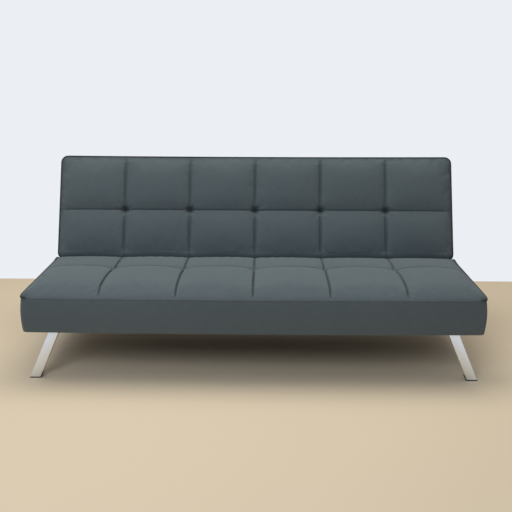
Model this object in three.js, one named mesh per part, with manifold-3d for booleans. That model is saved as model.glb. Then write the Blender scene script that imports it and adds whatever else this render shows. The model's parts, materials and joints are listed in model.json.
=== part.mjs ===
// A click clack sofa bed: a seat pad and a back pad joined at each end by a ratchet hinge, on four splayed legs.
// Millimetres. +X runs to the sitter's left along the width, +Y to the rear, +Z up.
// The origin lies on the floor under the middle of the sofa. Left and right are the viewer's, from the front.
import * as THREE from 'three';
import { mergeVertices } from 'three/addons/utils/BufferGeometryUtils.js';
import Module from 'manifold-3d';

const wasm = await Module();
wasm.setup();

// Overall sizes
const sofaWidth = 1800;
const seatTopHeight = 360;
const seatLength = 577;
const seatThickness = 157;
const backLength = 482;
const backThickness = 130;
const backLean = THREE.MathUtils.degToRad(22);

// The hinge line lies a little outside both pads' end faces and below their sitting faces
const pivotSetback = 12;
const pivotDepth = 40;

// Fits
const fit = 0.3;
const runningClearance = 0.15;
const boltClearance = 0.3;
const overrun = 10;

// Padding and its sewn panels
const padColumns = 6;
const tuftDepth = 6;
const tuftRadius = 32;
const weltHalfHeight = 4.5;
const weltGrooveDepth = 3.5;
const pipingRadius = 3.5;
const pipingStandOff = 1.5;
const sideBulge = 3;
const bottomRound = 6;
const sideSwellShare = 0.45;
const columnSwellPower = 0.6;
const rowSwellPower = 0.8;
const rollSteps = 3;
const rollRoundShare = 0.5;
const innerPanelShares = [0, 0.07, 0.3, 0.7, 0.93, 1];
const outerPanelShares = [0, 0.06, 0.16, 0.4, 0.75, 0.94, 1];
const rowShares = [0, 0.08, 0.27, 0.5, 0.73, 0.92, 1];

// The seat pad. Rises are above the pad's own level, at the hinge edge, the cross seam and the far edge,
// and arches come on top of them in the middle of the two rows.
const seatFrontRow = 346;
const seatCornerRadius = 18;
const seatFrontBow = 10;
const seatRoll = 50;
const seatWeltDrop = 13;
const seatFrontWeltDrop = 8;
const seatWeltTurn = 55;
const seatSeamRises = [2, 4, 15];
const seatPanelRises = [7, 19, 22];
const seatSeamArches = [5, 14];
const seatPanelArches = [6, 13];

// The back pad
const backTopRow = 244;
const backCornerRadius = 28;
const backTopBow = -3;
const backRoll = 30;
const backWeltDrop = 18;
const backSeamRises = [-4, -8, -6];
const backPanelRises = [4, 0, 2];
const backSeamArches = [4, 5];
const backPanelArches = [13, 13];

// Timber frames and boards
const sideSkirt = 20;
const endSkirt = 22;
const hingeSkirt = 20;
const railThickness = 20;
const legRailThickness = 34;
const crossRailThickness = 30;
const hingeRailSetback = 82;
const deckSetback = 62;
const seatFoam = 52;
const backFoam = 50;
const seatDeckThickness = 9;
const backDeckThickness = 6;
const clothThickness = 1.5;

// Legs, feet and the bars that carry them
const legWidth = 43;
const legDepth = 20;
const legWall = 1.5;
const legCorner = 2.5;
const legEndSetback = 93.5;
const legSplay = THREE.MathUtils.degToRad(22.2);
const legRake = THREE.MathUtils.degToRad(18.5);
const frontLegInset = 85;
const rearLegSetback = 186;
const barWidth = 40;
const barHeight = 25;
const barWall = 2;
const barEndMargin = 10;
const legPlateWidth = 56;
const legPlateLength = 84;
const legPlateThickness = 4;
const legPlateMargin = 13;
const legBoltSpacing = 28;
const legBoltMargin = 13;
const footBase = 4.5;
const footLipHeight = 20;
const footLipThickness = 2.5;
const footPlugHeight = 15;
const barBoltMargin = 40;

// Bolts
const boltRadius = 4;
const boltHeadRadius = 7;
const boltHeadThickness = 4;
const frontLegBoltLength = 62;
const rearLegBoltLength = 18;
const hingeBoltLength = 18;

// Ratchet hinge, seen along the hinge line
const cheekThickness = 3;
const ratchetThickness = 5;
const plateGap = 0.6;
const headRadius = 24;
const notchRadius = 30;
const pivotPinRadius = 5;
const pivotHeadRadius = 9;
const pivotHeadThickness = 3;
const sectorRadius = 40;
const sectorStart = THREE.MathUtils.degToRad(204);
const sectorEnd = THREE.MathUtils.degToRad(282);
const recline = THREE.MathUtils.degToRad(68);
const lounge = THREE.MathUtils.degToRad(34);
const toothRootGap = 1.3;
const toothWidth = 5;
const toothGapWidth = 6.6;
const sectorClearance = 0.4;
const pawlTravel = THREE.MathUtils.degToRad(6);
const pawlReach = 58;
const pawlDrop = 4;
const pawlToothHeight = 8;
const pawlArmDepth = 9;
const pawlBossRadius = 9;
const pawlStudRadius = 4;
const pawlStudHeadRadius = 6;
const pawlStudHeadThickness = 1.5;
const pawlStudReach = 14;
const fixingPadStart = 112;
const fixingPadEnd = 168;
const fixingPadTop = 28;
const fixingPadBottom = 96;
const backPadTop = 22;
const backPadBottom = 80;
const backPlateLap = 9;
const fixingPadCorner = 13;
const hingeBoltInset = 13;
const hingeBoltStart = 20;
const hingeBoltSpacing = 23;
const coverBossRadius = 13;
const shoulderDepth = 26;

// Pawl spring
const springTurns = 3;
const springRadius = 5.6;
const springPitch = 2.8;
const springWireRadius = 0.9;
const springTailReach = 20;

// Facets
const roundSides = 24;
const boltSides = 12;
const headSides = 6;
const pipingSides = 6;
const coilSteps = 8;
const wireSides = 5;
const cornerSteps = 3;

// Levels and lines that follow from the sizes above. Pad heights are measured from the hinge line.
const halfWidth = sofaWidth / 2;
const padSeams = sofaWidth / padColumns;
const crossRailStation = padSeams;
const legStation = halfWidth - legEndSetback;
const pivotHeight = seatTopHeight - pivotDepth;
const seatUnderside = pivotDepth - seatThickness;
const backRearFace = pivotDepth - backThickness;
const seatPocketCeiling = pivotDepth - seatFoam;
const backPocketCeiling = pivotDepth - backFoam;
const railOuterX = halfWidth - sideSkirt - fit;
const railInnerX = railOuterX - railThickness;
const seatPlateOuterX = railInnerX - fit;
const seatPlateInnerX = seatPlateOuterX - cheekThickness;
const ratchetOuterX = seatPlateInnerX - plateGap;
const ratchetInnerX = ratchetOuterX - ratchetThickness;
const coverOuterX = ratchetInnerX - plateGap;
const coverInnerX = coverOuterX - cheekThickness;
const backEdgeRound = bottomRound * 2;
const rearReach =
  (pivotSetback + backLength - backEdgeRound) * Math.sin(backLean) +
  (backThickness - pivotDepth - backEdgeRound) * Math.cos(backLean) +
  backEdgeRound;
const frontReach = pivotSetback + seatLength + seatFrontBow + pipingStandOff + pipingRadius;
const pivotY = (frontReach - rearReach) / 2;
const uprightAngle = Math.PI / 2 - backLean;
const toothDepth = pawlReach * Math.sin(pawlTravel) - sectorClearance + toothRootGap;
const pawlStudY = -pawlReach;
const pawlStudZ = -sectorRadius - pawlDrop;

// Materials
const fabric = () => new THREE.MeshStandardMaterial({ color: 0x5a636a, roughness: 0.92, metalness: 0 });
const cordFabric = () => new THREE.MeshStandardMaterial({ color: 0x454e55, roughness: 0.92, metalness: 0 });
const liningCloth = () => new THREE.MeshStandardMaterial({ color: 0x1f2224, roughness: 0.95, metalness: 0 });
const chrome = () => new THREE.MeshStandardMaterial({ color: 0xe4e6e8, roughness: 0.08, metalness: 1 });
const blackPlastic = () => new THREE.MeshStandardMaterial({ color: 0x17181a, roughness: 0.5, metalness: 0 });
const timber = () => new THREE.MeshStandardMaterial({ color: 0xc9a878, roughness: 0.75, metalness: 0 });
const board = () => new THREE.MeshStandardMaterial({ color: 0xa98a5f, roughness: 0.8, metalness: 0 });
const blackSteel = () => new THREE.MeshStandardMaterial({ color: 0x26282a, roughness: 0.45, metalness: 0.6 });
const zincSteel = () => new THREE.MeshStandardMaterial({ color: 0xb8bbbd, roughness: 0.35, metalness: 1 });

// Solids
function toSolid(geometry) {
  const bare = geometry.clone();
  bare.deleteAttribute('normal');
  bare.deleteAttribute('uv');
  const merged = mergeVertices(bare);
  return new wasm.Manifold(
    new wasm.Mesh({
      numProp: 3,
      vertProperties: merged.attributes.position.array,
      triVerts: new Uint32Array(merged.index.array),
    }),
  );
}

function toGeometry(solid) {
  const mesh = solid.getMesh();
  const geometry = new THREE.BufferGeometry();
  geometry.setAttribute('position', new THREE.BufferAttribute(mesh.vertProperties, mesh.numProp));
  geometry.setIndex(new THREE.BufferAttribute(mesh.triVerts, 1));
  geometry.computeVertexNormals();
  return geometry;
}

function joined(geometries) {
  return toGeometry(geometries.map(toSolid).reduce((whole, piece) => whole.add(piece)));
}

function cut(geometry, cutters) {
  return toGeometry(cutters.map(toSolid).reduce((left, cutter) => left.subtract(cutter), toSolid(geometry)));
}

function boxBetween(low, high) {
  const size = high.clone().sub(low);
  const middle = low.clone().add(high).multiplyScalar(0.5);
  return new THREE.BoxGeometry(size.x, size.y, size.z).translate(middle.x, middle.y, middle.z);
}

// A box that spans the same stretch of width on either side of the middle
function sideBox(side, innerX, outerX, low, high) {
  const edges = [side * innerX, side * outerX];
  const lowCorner = new THREE.Vector3(Math.min(...edges), low[0], low[1]);
  const highCorner = new THREE.Vector3(Math.max(...edges), high[0], high[1]);
  return boxBetween(lowCorner, highCorner);
}

function middleBox(halfSpan, low, high) {
  return boxBetween(new THREE.Vector3(-halfSpan, ...low), new THREE.Vector3(halfSpan, ...high));
}

// A cylinder along X between two distances from the middle, on one side
function crossCylinder(side, radius, innerX, outerX, y, z, sides) {
  const cylinder = new THREE.CylinderGeometry(radius, radius, outerX - innerX, sides);
  cylinder.rotateZ(Math.PI / 2);
  return cylinder.translate((side * (innerX + outerX)) / 2, y, z);
}

function uprightCylinder(radius, x, y, low, high, sides) {
  const cylinder = new THREE.CylinderGeometry(radius, radius, high - low, sides);
  cylinder.rotateX(Math.PI / 2);
  return cylinder.translate(x, y, (low + high) / 2);
}

// The radius of a many-sided hole whose flats clear a round of the given radius
function holeRadius(radius, clearance, sides) {
  return (radius + clearance) / Math.cos(Math.PI / sides);
}

// A plate whose outline is drawn in Y and Z, between two distances from the middle, on one side
function crossPlate(outline, side, innerX, outerX) {
  const plate = new THREE.ExtrudeGeometry(outline, { depth: outerX - innerX, bevelEnabled: false });
  const axes = new THREE.Matrix4().makeBasis(
    new THREE.Vector3(0, 1, 0),
    new THREE.Vector3(0, 0, 1),
    new THREE.Vector3(1, 0, 0),
  );
  plate.applyMatrix4(axes);
  return plate.translate(side > 0 ? innerX : -outerX, 0, 0);
}

function roundPolygon(radius, sides) {
  const shape = new THREE.Shape();
  for (let k = 0; k < sides; k += 1) {
    const angle = (2 * Math.PI * k) / sides;
    const x = radius * Math.cos(angle);
    const y = radius * Math.sin(angle);
    if (k === 0) shape.moveTo(x, y);
    else shape.lineTo(x, y);
  }
  shape.closePath();
  return shape;
}

// A path whose sections stand exactly on its points
class PointPath extends THREE.Curve {
  constructor(points) {
    super();
    this.points = points;
  }

  getPoint(t, target = new THREE.Vector3()) {
    const place = t * (this.points.length - 1);
    const index = Math.min(Math.floor(place), this.points.length - 2);
    return target.lerpVectors(this.points[index], this.points[index + 1], place - index);
  }

  getPointAt(t, target) {
    return this.getPoint(t, target);
  }

  getTangentAt(t, target = new THREE.Vector3()) {
    const last = this.points.length - 1;
    const index = Math.round(t * last);
    const before = this.points[Math.max(index - 1, 0)];
    const after = this.points[Math.min(index + 1, last)];
    return target.subVectors(after, before).normalize();
  }
}

function tubeAlong(points, radius, sides) {
  return new THREE.ExtrudeGeometry(roundPolygon(radius, sides), {
    steps: points.length - 1,
    extrudePath: new PointPath(points),
    bevelEnabled: false,
  });
}

// Padding: a pad lies flat beside the hinge line, x across, y away from the hinge, z toward the sitter
const seatPad = {
  length: seatLength,
  underside: seatUnderside,
  farRow: seatFrontRow,
  cornerRadius: seatCornerRadius,
  bow: seatFrontBow,
  roll: seatRoll,
  weltDrop: seatWeltDrop,
  farWeltDrop: seatFrontWeltDrop,
  seamRises: seatSeamRises,
  panelRises: seatPanelRises,
  seamArches: seatSeamArches,
  panelArches: seatPanelArches,
};
const backPad = {
  length: backLength,
  underside: backRearFace,
  farRow: backTopRow,
  cornerRadius: backCornerRadius,
  bow: backTopBow,
  roll: backRoll,
  weltDrop: backWeltDrop,
  farWeltDrop: 0,
  seamRises: backSeamRises,
  panelRises: backPanelRises,
  seamArches: backSeamArches,
  panelArches: backPanelArches,
};

// Grid lines across the pad: where each lies, and how far its panel swells there, from 0 at a seam to 1 in the
// middle, or to the share that the pad's left and right edges keep
function columnStations(edges) {
  const stations = [];
  const last = edges.length - 2;
  for (let panel = 0; panel <= last; panel += 1) {
    let shares = innerPanelShares;
    if (panel === 0) shares = outerPanelShares;
    if (panel === last) shares = outerPanelShares.map((share) => 1 - share).reverse();
    for (const share of shares.slice(panel === 0 ? 0 : 1)) {
      const fromMiddle = Math.abs(2 * share - 1);
      const outside = (panel === 0 && share < 1 / 2) || (panel === last && share > 1 / 2);
      const rounded = Math.sin(((1 - fromMiddle) * Math.PI) / 2) ** columnSwellPower;
      const swell = outside ? 1 - (1 - sideSwellShare) * fromMiddle ** 2 : rounded;
      stations.push({ at: THREE.MathUtils.lerp(edges[panel], edges[panel + 1], share), swell });
    }
  }
  return stations;
}

// Grid lines from the hinge edge to the far edge: where each lies, in which row, and how far the row arches there
function rowStations(edges) {
  const stations = [];
  for (let panel = 0; panel < edges.length - 1; panel += 1) {
    for (const share of rowShares.slice(panel === 0 ? 0 : 1)) {
      const arch = share % 1 === 0 ? 0 : Math.sin(share * Math.PI) ** rowSwellPower;
      stations.push({ at: THREE.MathUtils.lerp(edges[panel], edges[panel + 1], share), panel, share, arch });
    }
  }
  return stations;
}

// Moves a point of a square-cornered plan onto the plan with rounded corners and a bowed far end
function padPlan(pad, x, y, inset, hingeInset) {
  const low = pivotSetback + hingeInset;
  const high = pivotSetback + pad.length - inset;
  const half = halfWidth - inset;
  const radius = Math.max(pad.cornerRadius - inset, bottomRound);
  const across = (Math.abs(x) - (half - radius)) / radius;
  const middle = (low + high) / 2;
  const along = (Math.abs(y - middle) - ((high - low) / 2 - radius)) / radius;
  let planX = Math.abs(x);
  let planY = Math.abs(y - middle);
  if (across > 0 && along > 0) {
    planX = half - radius + radius * across * Math.sqrt(1 - along ** 2 / 2);
    planY = (high - low) / 2 - radius + radius * along * Math.sqrt(1 - across ** 2 / 2);
  }
  planY = middle + Math.sign(y - middle) * planY;
  const farShare = (planY - pivotSetback) / pad.length;
  const bow = pad.bow * (1 - (planX / halfWidth) ** 2) * farShare ** 2;
  return new THREE.Vector2(Math.sign(x) * planX, planY + bow);
}

// The pad's edge from the sitting face down to the underside: a roll halfway between a quarter round and a bevel,
// then the welt and the side. Toward the hinge it keeps inside a quarter round whose middle is level with the
// hinge line, so that the two pads roll past each other.
function padRings(pad) {
  const rolled = (angle) => ({
    hingeInset: pivotDepth * (1 - Math.cos(angle)),
    hingeZ: pivotDepth * Math.sin(angle),
  });
  const welt = pivotDepth - pad.weltDrop;
  const above = welt + weltHalfHeight;
  const below = welt - weltHalfHeight;
  const aboveAngle = Math.asin(above / pivotDepth);
  const waist = (below + pad.underside) / 2;
  const roundStart = pad.underside + bottomRound;
  const roll = [];
  for (let step = 1; step <= rollSteps; step += 1) {
    const share = step / rollSteps;
    const turn = share * (Math.PI / 2);
    const hingeAngle = THREE.MathUtils.lerp(Math.PI / 2, aboveAngle, share);
    const inset = pad.roll * (1 - THREE.MathUtils.lerp(share, Math.sin(turn), rollRoundShare));
    const keepShare = THREE.MathUtils.lerp(1 - share, Math.cos(turn), rollRoundShare);
    roll.push({ inset, z: above, keepShare, weltShare: 1, ...rolled(hingeAngle) });
  }
  return [
    ...roll,
    { inset: weltGrooveDepth, z: welt, keepShare: 0, weltShare: 1, ...rolled(Math.asin(welt / pivotDepth)) },
    { inset: 0, z: below, keepShare: 0, weltShare: 1, ...rolled(Math.asin(below / pivotDepth)) },
    { inset: -sideBulge, z: waist, keepShare: 0, weltShare: 1 / 2, hingeInset: 0, hingeZ: waist },
    { inset: 0, z: roundStart, keepShare: 0, weltShare: 0, hingeInset: 0, hingeZ: roundStart },
    { inset: bottomRound, z: pad.underside, keepShare: 0, weltShare: 0, hingeInset: bottomRound, hingeZ: pad.underside },
  ];
}

// How far the welt drops along the far end, where it runs lower than along the sides
function farWeltDrop(pad, x) {
  return pad.farWeltDrop * THREE.MathUtils.smoothstep(halfWidth - Math.abs(x), 0, seatWeltTurn);
}

// Grid lines of the sitting face, which ends where its edge starts to roll down
function padGrid(pad) {
  const half = halfWidth - pad.roll;
  const columnEdges = [-half];
  for (let k = 1; k < padColumns; k += 1) columnEdges.push((k - padColumns / 2) * padSeams);
  columnEdges.push(half);
  const far = pivotSetback + pad.length;
  const rowEdges = [pivotSetback + pivotDepth, far - pad.farRow, far - pad.roll];
  return {
    columns: columnStations(columnEdges),
    rows: rowStations(rowEdges),
    seams: columnEdges.slice(1, -1),
    rowSeam: rowEdges[1],
  };
}

function sittingFaceHeight(pad, grid, column, row) {
  const level = (rises, arches) =>
    THREE.MathUtils.lerp(rises[row.panel], rises[row.panel + 1], row.share) + arches[row.panel] * row.arch;
  const seamRise = level(pad.seamRises, pad.seamArches);
  const panelRise = level(pad.panelRises, pad.panelArches);
  let height = pivotDepth + THREE.MathUtils.lerp(seamRise, panelRise, column.swell);
  for (const seam of grid.seams) {
    const away = Math.hypot(column.at - seam, row.at - grid.rowSeam);
    height -= tuftDepth * Math.exp(-((away / tuftRadius) ** 2));
  }
  return height;
}

// Grid positions around the edge of the sitting face, starting at the hinge end
function borderLoop(columns, rows) {
  const loop = [];
  for (let i = 0; i < columns; i += 1) loop.push([i, 0]);
  for (let j = 0; j < rows; j += 1) loop.push([columns, j]);
  for (let i = columns; i > 0; i -= 1) loop.push([i, rows]);
  for (let j = rows; j > 0; j -= 1) loop.push([0, j]);
  return loop;
}

// One point of an edge ring, outside the given point of the sitting face's border
function ringPoint(pad, grid, ring, spot, borderHeight) {
  const column = grid.columns[spot[0]];
  const row = grid.rows[spot[1]];
  const last = grid.rows.length - 1;
  const low = grid.rows[0].at;
  const high = grid.rows[last].at;
  const ringLow = pivotSetback + ring.hingeInset;
  const ringHigh = pivotSetback + pad.length - ring.inset;
  const x = (column.at * (halfWidth - ring.inset)) / (halfWidth - pad.roll);
  const y = ringLow + ((row.at - low) * (ringHigh - ringLow)) / (high - low);
  const plan = padPlan(pad, x, y, ring.inset, ring.hingeInset);
  const edgeZ = ring.z - (spot[1] === last ? farWeltDrop(pad, x) * ring.weltShare : 0);
  const level = THREE.MathUtils.lerp(edgeZ, borderHeight, ring.keepShare);
  const z = spot[1] === 0 ? ring.hingeZ : level;
  return new THREE.Vector3(plan.x, plan.y, z);
}

function padGeometry(pad) {
  const grid = padGrid(pad);
  const columns = grid.columns.length - 1;
  const rows = grid.rows.length - 1;
  const points = [];
  const faces = [];
  for (const row of grid.rows) {
    for (const column of grid.columns) {
      const plan = padPlan(pad, column.at, row.at, pad.roll, pivotDepth);
      points.push(new THREE.Vector3(plan.x, plan.y, sittingFaceHeight(pad, grid, column, row)));
    }
  }
  const at = (i, j) => j * (columns + 1) + i;
  for (let j = 0; j < rows; j += 1) {
    for (let i = 0; i < columns; i += 1) {
      faces.push(at(i, j), at(i + 1, j), at(i + 1, j + 1));
      faces.push(at(i, j), at(i + 1, j + 1), at(i, j + 1));
    }
  }
  const loop = borderLoop(columns, rows);
  const heights = loop.map(([i, j]) => points[at(i, j)].z);
  let previous = loop.map(([i, j]) => at(i, j));
  for (const ring of padRings(pad)) {
    const next = loop.map((spot, k) => points.push(ringPoint(pad, grid, ring, spot, heights[k])) - 1);
    for (let k = 0; k < loop.length; k += 1) {
      const l = (k + 1) % loop.length;
      faces.push(previous[k], next[k], next[l]);
      faces.push(previous[k], next[l], previous[l]);
    }
    previous = next;
  }
  const middle = points.push(new THREE.Vector3(0, pivotSetback + pad.length / 2, pad.underside)) - 1;
  for (let k = 0; k < loop.length; k += 1) {
    faces.push(previous[k], middle, previous[(k + 1) % loop.length]);
  }
  const geometry = new THREE.BufferGeometry().setFromPoints(points);
  geometry.setIndex(faces);
  geometry.computeVertexNormals();
  return geometry;
}

// Corded seam: it lies in the welt groove from one hinge corner around the far end to the other
function pipingGeometry(pad) {
  const grid = padGrid(pad);
  const columns = grid.columns.length - 1;
  const rows = grid.rows.length - 1;
  const welt = pivotDepth - pad.weltDrop;
  const ring = { inset: -pipingStandOff, z: welt, keepShare: 0, weltShare: 1, hingeInset: 0, hingeZ: welt };
  const route = borderLoop(columns, rows).filter(([, j]) => j > 0);
  return tubeAlong(
    route.map((spot) => ringPoint(pad, grid, ring, spot, welt)),
    pipingRadius,
    pipingSides,
  );
}

// Both pads are hollow behind, for the timber frame, and notched around the hinges
function hollowPad(pad, ceiling, hingeCuts) {
  const pocket = middleBox(
    halfWidth - sideSkirt,
    [pivotSetback + hingeSkirt, pad.underside - overrun],
    [pivotSetback + pad.length - endSkirt, ceiling],
  );
  return cut(padGeometry(pad), [pocket, ...hingeCuts]);
}

function hingeNotches(slotBottom) {
  const innerX = coverInnerX - pivotHeadThickness - 2 * fit;
  const outerX = railInnerX + fit;
  const cuts = [];
  for (const side of [-1, 1]) {
    cuts.push(crossCylinder(side, notchRadius, innerX, outerX, 0, 0, roundSides));
    cuts.push(sideBox(side, innerX, outerX, [0, slotBottom], [deckSetback, headRadius]));
  }
  return cuts;
}

function seatCushion() {
  return hollowPad(seatPad, seatPocketCeiling, hingeNotches(seatUnderside - overrun));
}

function backCushion() {
  return hollowPad(backPad, backPocketCeiling, hingeNotches(backRearFace - overrun));
}

// Frame levels, from the pocket's ceiling down: board, rails, cloth
function frameLevels(ceiling, deckThickness, underside) {
  const deckTop = ceiling - fit;
  const deckBottom = deckTop - deckThickness;
  const railTop = deckBottom - fit;
  const clothTop = underside + clothThickness;
  return { deckTop, deckBottom, railTop, railBottom: clothTop + fit, clothTop, clothBottom: underside };
}
const seatLevels = frameLevels(seatPocketCeiling, seatDeckThickness, seatUnderside);
const backLevels = frameLevels(backPocketCeiling, backDeckThickness, backRearFace);

// Distances of the frame's ends from the hinge line
function frameEnds(pad) {
  return {
    near: pivotSetback + hingeSkirt + fit,
    far: pivotSetback + pad.length - endSkirt - fit,
  };
}
const seatEnds = frameEnds(seatPad);
const backEnds = frameEnds(backPad);

// Where the hinge bolts pass, measured from the hinge line along and below the pad's line
const hingeBoltSpots = [
  {
    along: fixingPadStart + hingeBoltStart,
    seatDrop: fixingPadTop + hingeBoltInset,
    backDrop: backPadTop + hingeBoltInset,
  },
  {
    along: fixingPadStart + hingeBoltStart + hingeBoltSpacing,
    seatDrop: fixingPadBottom - hingeBoltInset,
    backDrop: backPadBottom - hingeBoltInset,
  },
];

function hingeBoltBores(side, direction, drop) {
  return hingeBoltSpots.map((spot) =>
    crossCylinder(
      side,
      holeRadius(boltRadius, boltClearance, boltSides),
      ratchetInnerX,
      seatPlateOuterX + hingeBoltLength + fit,
      direction * spot.along,
      -spot[drop],
      boltSides,
    ),
  );
}

// The seat's timber frame, in a frame at the hinge line with the seat on the -Y side
function seatSideRail(side) {
  const rail = sideBox(
    side,
    railInnerX,
    railOuterX,
    [-seatEnds.far, seatLevels.railBottom],
    [-seatEnds.near, seatLevels.railTop],
  );
  return cut(rail, hingeBoltBores(side, -1, 'seatDrop'));
}

function seatFrontRail() {
  return middleBox(
    railInnerX - fit,
    [-seatEnds.far, seatLevels.railBottom],
    [-seatEnds.far + railThickness, seatLevels.railTop],
  );
}

function seatRearRail() {
  return middleBox(
    seatPlateInnerX - fit,
    [-hingeRailSetback - railThickness, seatLevels.railBottom],
    [-hingeRailSetback, seatLevels.railTop],
  );
}

// Bolt places along the leg bars, measured from the hinge line
const frontPlaneY = -(pivotSetback + seatLength);
const frontLegY = frontPlaneY + frontLegInset;
const rearLegY = rearLegSetback;
const barBoltY = -hingeRailSetback - railThickness - barBoltMargin;

function legBoltYs(end) {
  const legY = end < 0 ? frontLegY : rearLegY;
  const first = legY - end * (legDepth / 2 + legBoltMargin);
  return [first, first - end * legBoltSpacing];
}

function uprightBores(side, ys, low, high) {
  const radius = holeRadius(boltRadius, boltClearance, boltSides);
  return ys.map((y) => uprightCylinder(radius, side * legStation, y, low, high, boltSides));
}

const railBoltYs = [...legBoltYs(-1), barBoltY];

function seatLegRail(side) {
  const rail = sideBox(
    side,
    legStation - legRailThickness / 2,
    legStation + legRailThickness / 2,
    [-seatEnds.far + railThickness + fit, seatLevels.railBottom],
    [-hingeRailSetback - railThickness - fit, seatLevels.railTop],
  );
  return cut(rail, uprightBores(side, railBoltYs, seatLevels.railBottom - overrun, railBoltTop + fit));
}

function seatDeck() {
  return middleBox(railOuterX, [-seatEnds.far, seatLevels.deckBottom], [-deckSetback, seatLevels.deckTop]);
}

function seatDustCover() {
  const cover = middleBox(
    railOuterX,
    [-seatEnds.far, seatLevels.clothBottom],
    [-hingeRailSetback, seatLevels.clothTop],
  );
  const low = seatLevels.clothBottom - overrun;
  const high = seatLevels.clothTop + overrun;
  return cut(cover, [-1, 1].flatMap((side) => uprightBores(side, railBoltYs, low, high)));
}

// The back's timber frame, in a frame that lies along the back: y up the back, z toward the sitter
function backSideRail(side) {
  const rail = sideBox(
    side,
    railInnerX,
    railOuterX,
    [backEnds.near, backLevels.railBottom],
    [backEnds.far, backLevels.railTop],
  );
  return cut(rail, hingeBoltBores(side, 1, 'backDrop'));
}

function backTopRail() {
  return middleBox(
    railInnerX - fit,
    [backEnds.far - railThickness, backLevels.railBottom],
    [backEnds.far, backLevels.railTop],
  );
}

function backBottomRail() {
  return middleBox(
    ratchetInnerX - fit,
    [hingeRailSetback, backLevels.railBottom],
    [hingeRailSetback + railThickness, backLevels.railTop],
  );
}

function backCrossRail(side) {
  return sideBox(
    side,
    crossRailStation - crossRailThickness / 2,
    crossRailStation + crossRailThickness / 2,
    [hingeRailSetback + railThickness + fit, backLevels.railBottom],
    [backEnds.far - railThickness - fit, backLevels.railTop],
  );
}

function backDeck() {
  return middleBox(railOuterX, [deckSetback, backLevels.deckBottom], [backEnds.far, backLevels.deckTop]);
}

function backRearCover() {
  return middleBox(railOuterX, [backEnds.near, backLevels.clothBottom], [backEnds.far, backLevels.clothTop]);
}

// Bars and legs, in a frame at the hinge line
const barTop = seatUnderside - fit;
const barBottom = barTop - barHeight;
const legPlateTop = barBottom - fit;
const legPlateBottom = legPlateTop - legPlateThickness;
const railBoltTop = legPlateBottom - fit + frontLegBoltLength;
const floorZ = -pivotHeight;

function legSupportBar(side) {
  const front = frontLegY - barEndMargin;
  const rear = rearLegY + barEndMargin;
  const bar = sideBox(
    side,
    legStation - barWidth / 2,
    legStation + barWidth / 2,
    [front, barBottom],
    [rear, barTop],
  );
  const hollow = sideBox(
    side,
    legStation - barWidth / 2 + barWall,
    legStation + barWidth / 2 - barWall,
    [front - overrun, barBottom + barWall],
    [rear + overrun, barTop - barWall],
  );
  const through = uprightBores(side, railBoltYs, barBottom - overrun, barTop + overrun);
  const lower = uprightBores(side, legBoltYs(1), barBottom - overrun, barBottom + barWall + fit);
  return cut(bar, [hollow, ...through, ...lower]);
}

function roundedRectangle(width, depth, radius, middleX, middleY) {
  const shape = new THREE.Shape();
  for (let corner = 0; corner < 4; corner += 1) {
    const turn = (corner * Math.PI) / 2;
    const signX = corner === 0 || corner === 3 ? 1 : -1;
    const signY = corner < 2 ? 1 : -1;
    for (let step = 0; step <= cornerSteps; step += 1) {
      const angle = turn + (step / cornerSteps) * (Math.PI / 2);
      const x = middleX + signX * (width / 2 - radius) + radius * Math.cos(angle);
      const y = middleY + signY * (depth / 2 - radius) + radius * Math.sin(angle);
      if (corner === 0 && step === 0) shape.moveTo(x, y);
      else shape.lineTo(x, y);
    }
  }
  shape.closePath();
  return shape;
}

function uprightPrism(shape, low, high) {
  const prism = new THREE.ExtrudeGeometry(shape, { depth: high - low, bevelEnabled: false });
  return prism.translate(0, 0, low);
}

// Leans an upright piece outward and away from the sofa's middle, about the leg's top, keeping its ends level
function splayed(geometry, side, end) {
  const positions = geometry.attributes.position;
  for (let k = 0; k < positions.count; k += 1) {
    const drop = legPlateBottom - positions.getZ(k);
    positions.setX(k, positions.getX(k) + side * drop * Math.tan(legSplay));
    positions.setY(k, positions.getY(k) + end * drop * Math.tan(legRake));
  }
  return geometry;
}

function legTube(side, end) {
  const outer = roundedRectangle(legWidth, legDepth, legCorner, 0, 0);
  const inner = roundedRectangle(legWidth - 2 * legWall, legDepth - 2 * legWall, legCorner - legWall, 0, 0);
  const low = floorZ + footBase + fit;
  const tube = splayed(uprightPrism(outer, low, legPlateBottom + legPlateThickness / 2), side, end);
  const hollow = splayed(uprightPrism(inner, low - overrun, legPlateBottom), side, end);
  return cut(tube, [hollow]);
}

function leg(side, end) {
  const legY = end < 0 ? frontLegY : rearLegY;
  const tube = legTube(side, end).translate(side * legStation, legY, 0);
  const outerEdge = legY + end * legPlateMargin;
  const innerEdge = outerEdge - end * legPlateLength;
  const plate = sideBox(
    side,
    legStation - legPlateWidth / 2,
    legStation + legPlateWidth / 2,
    [Math.min(outerEdge, innerEdge), legPlateBottom],
    [Math.max(outerEdge, innerEdge), legPlateTop],
  );
  const bores = uprightBores(side, legBoltYs(end), legPlateBottom - overrun, legPlateTop + overrun);
  return cut(joined([tube, plate]), bores);
}

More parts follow.
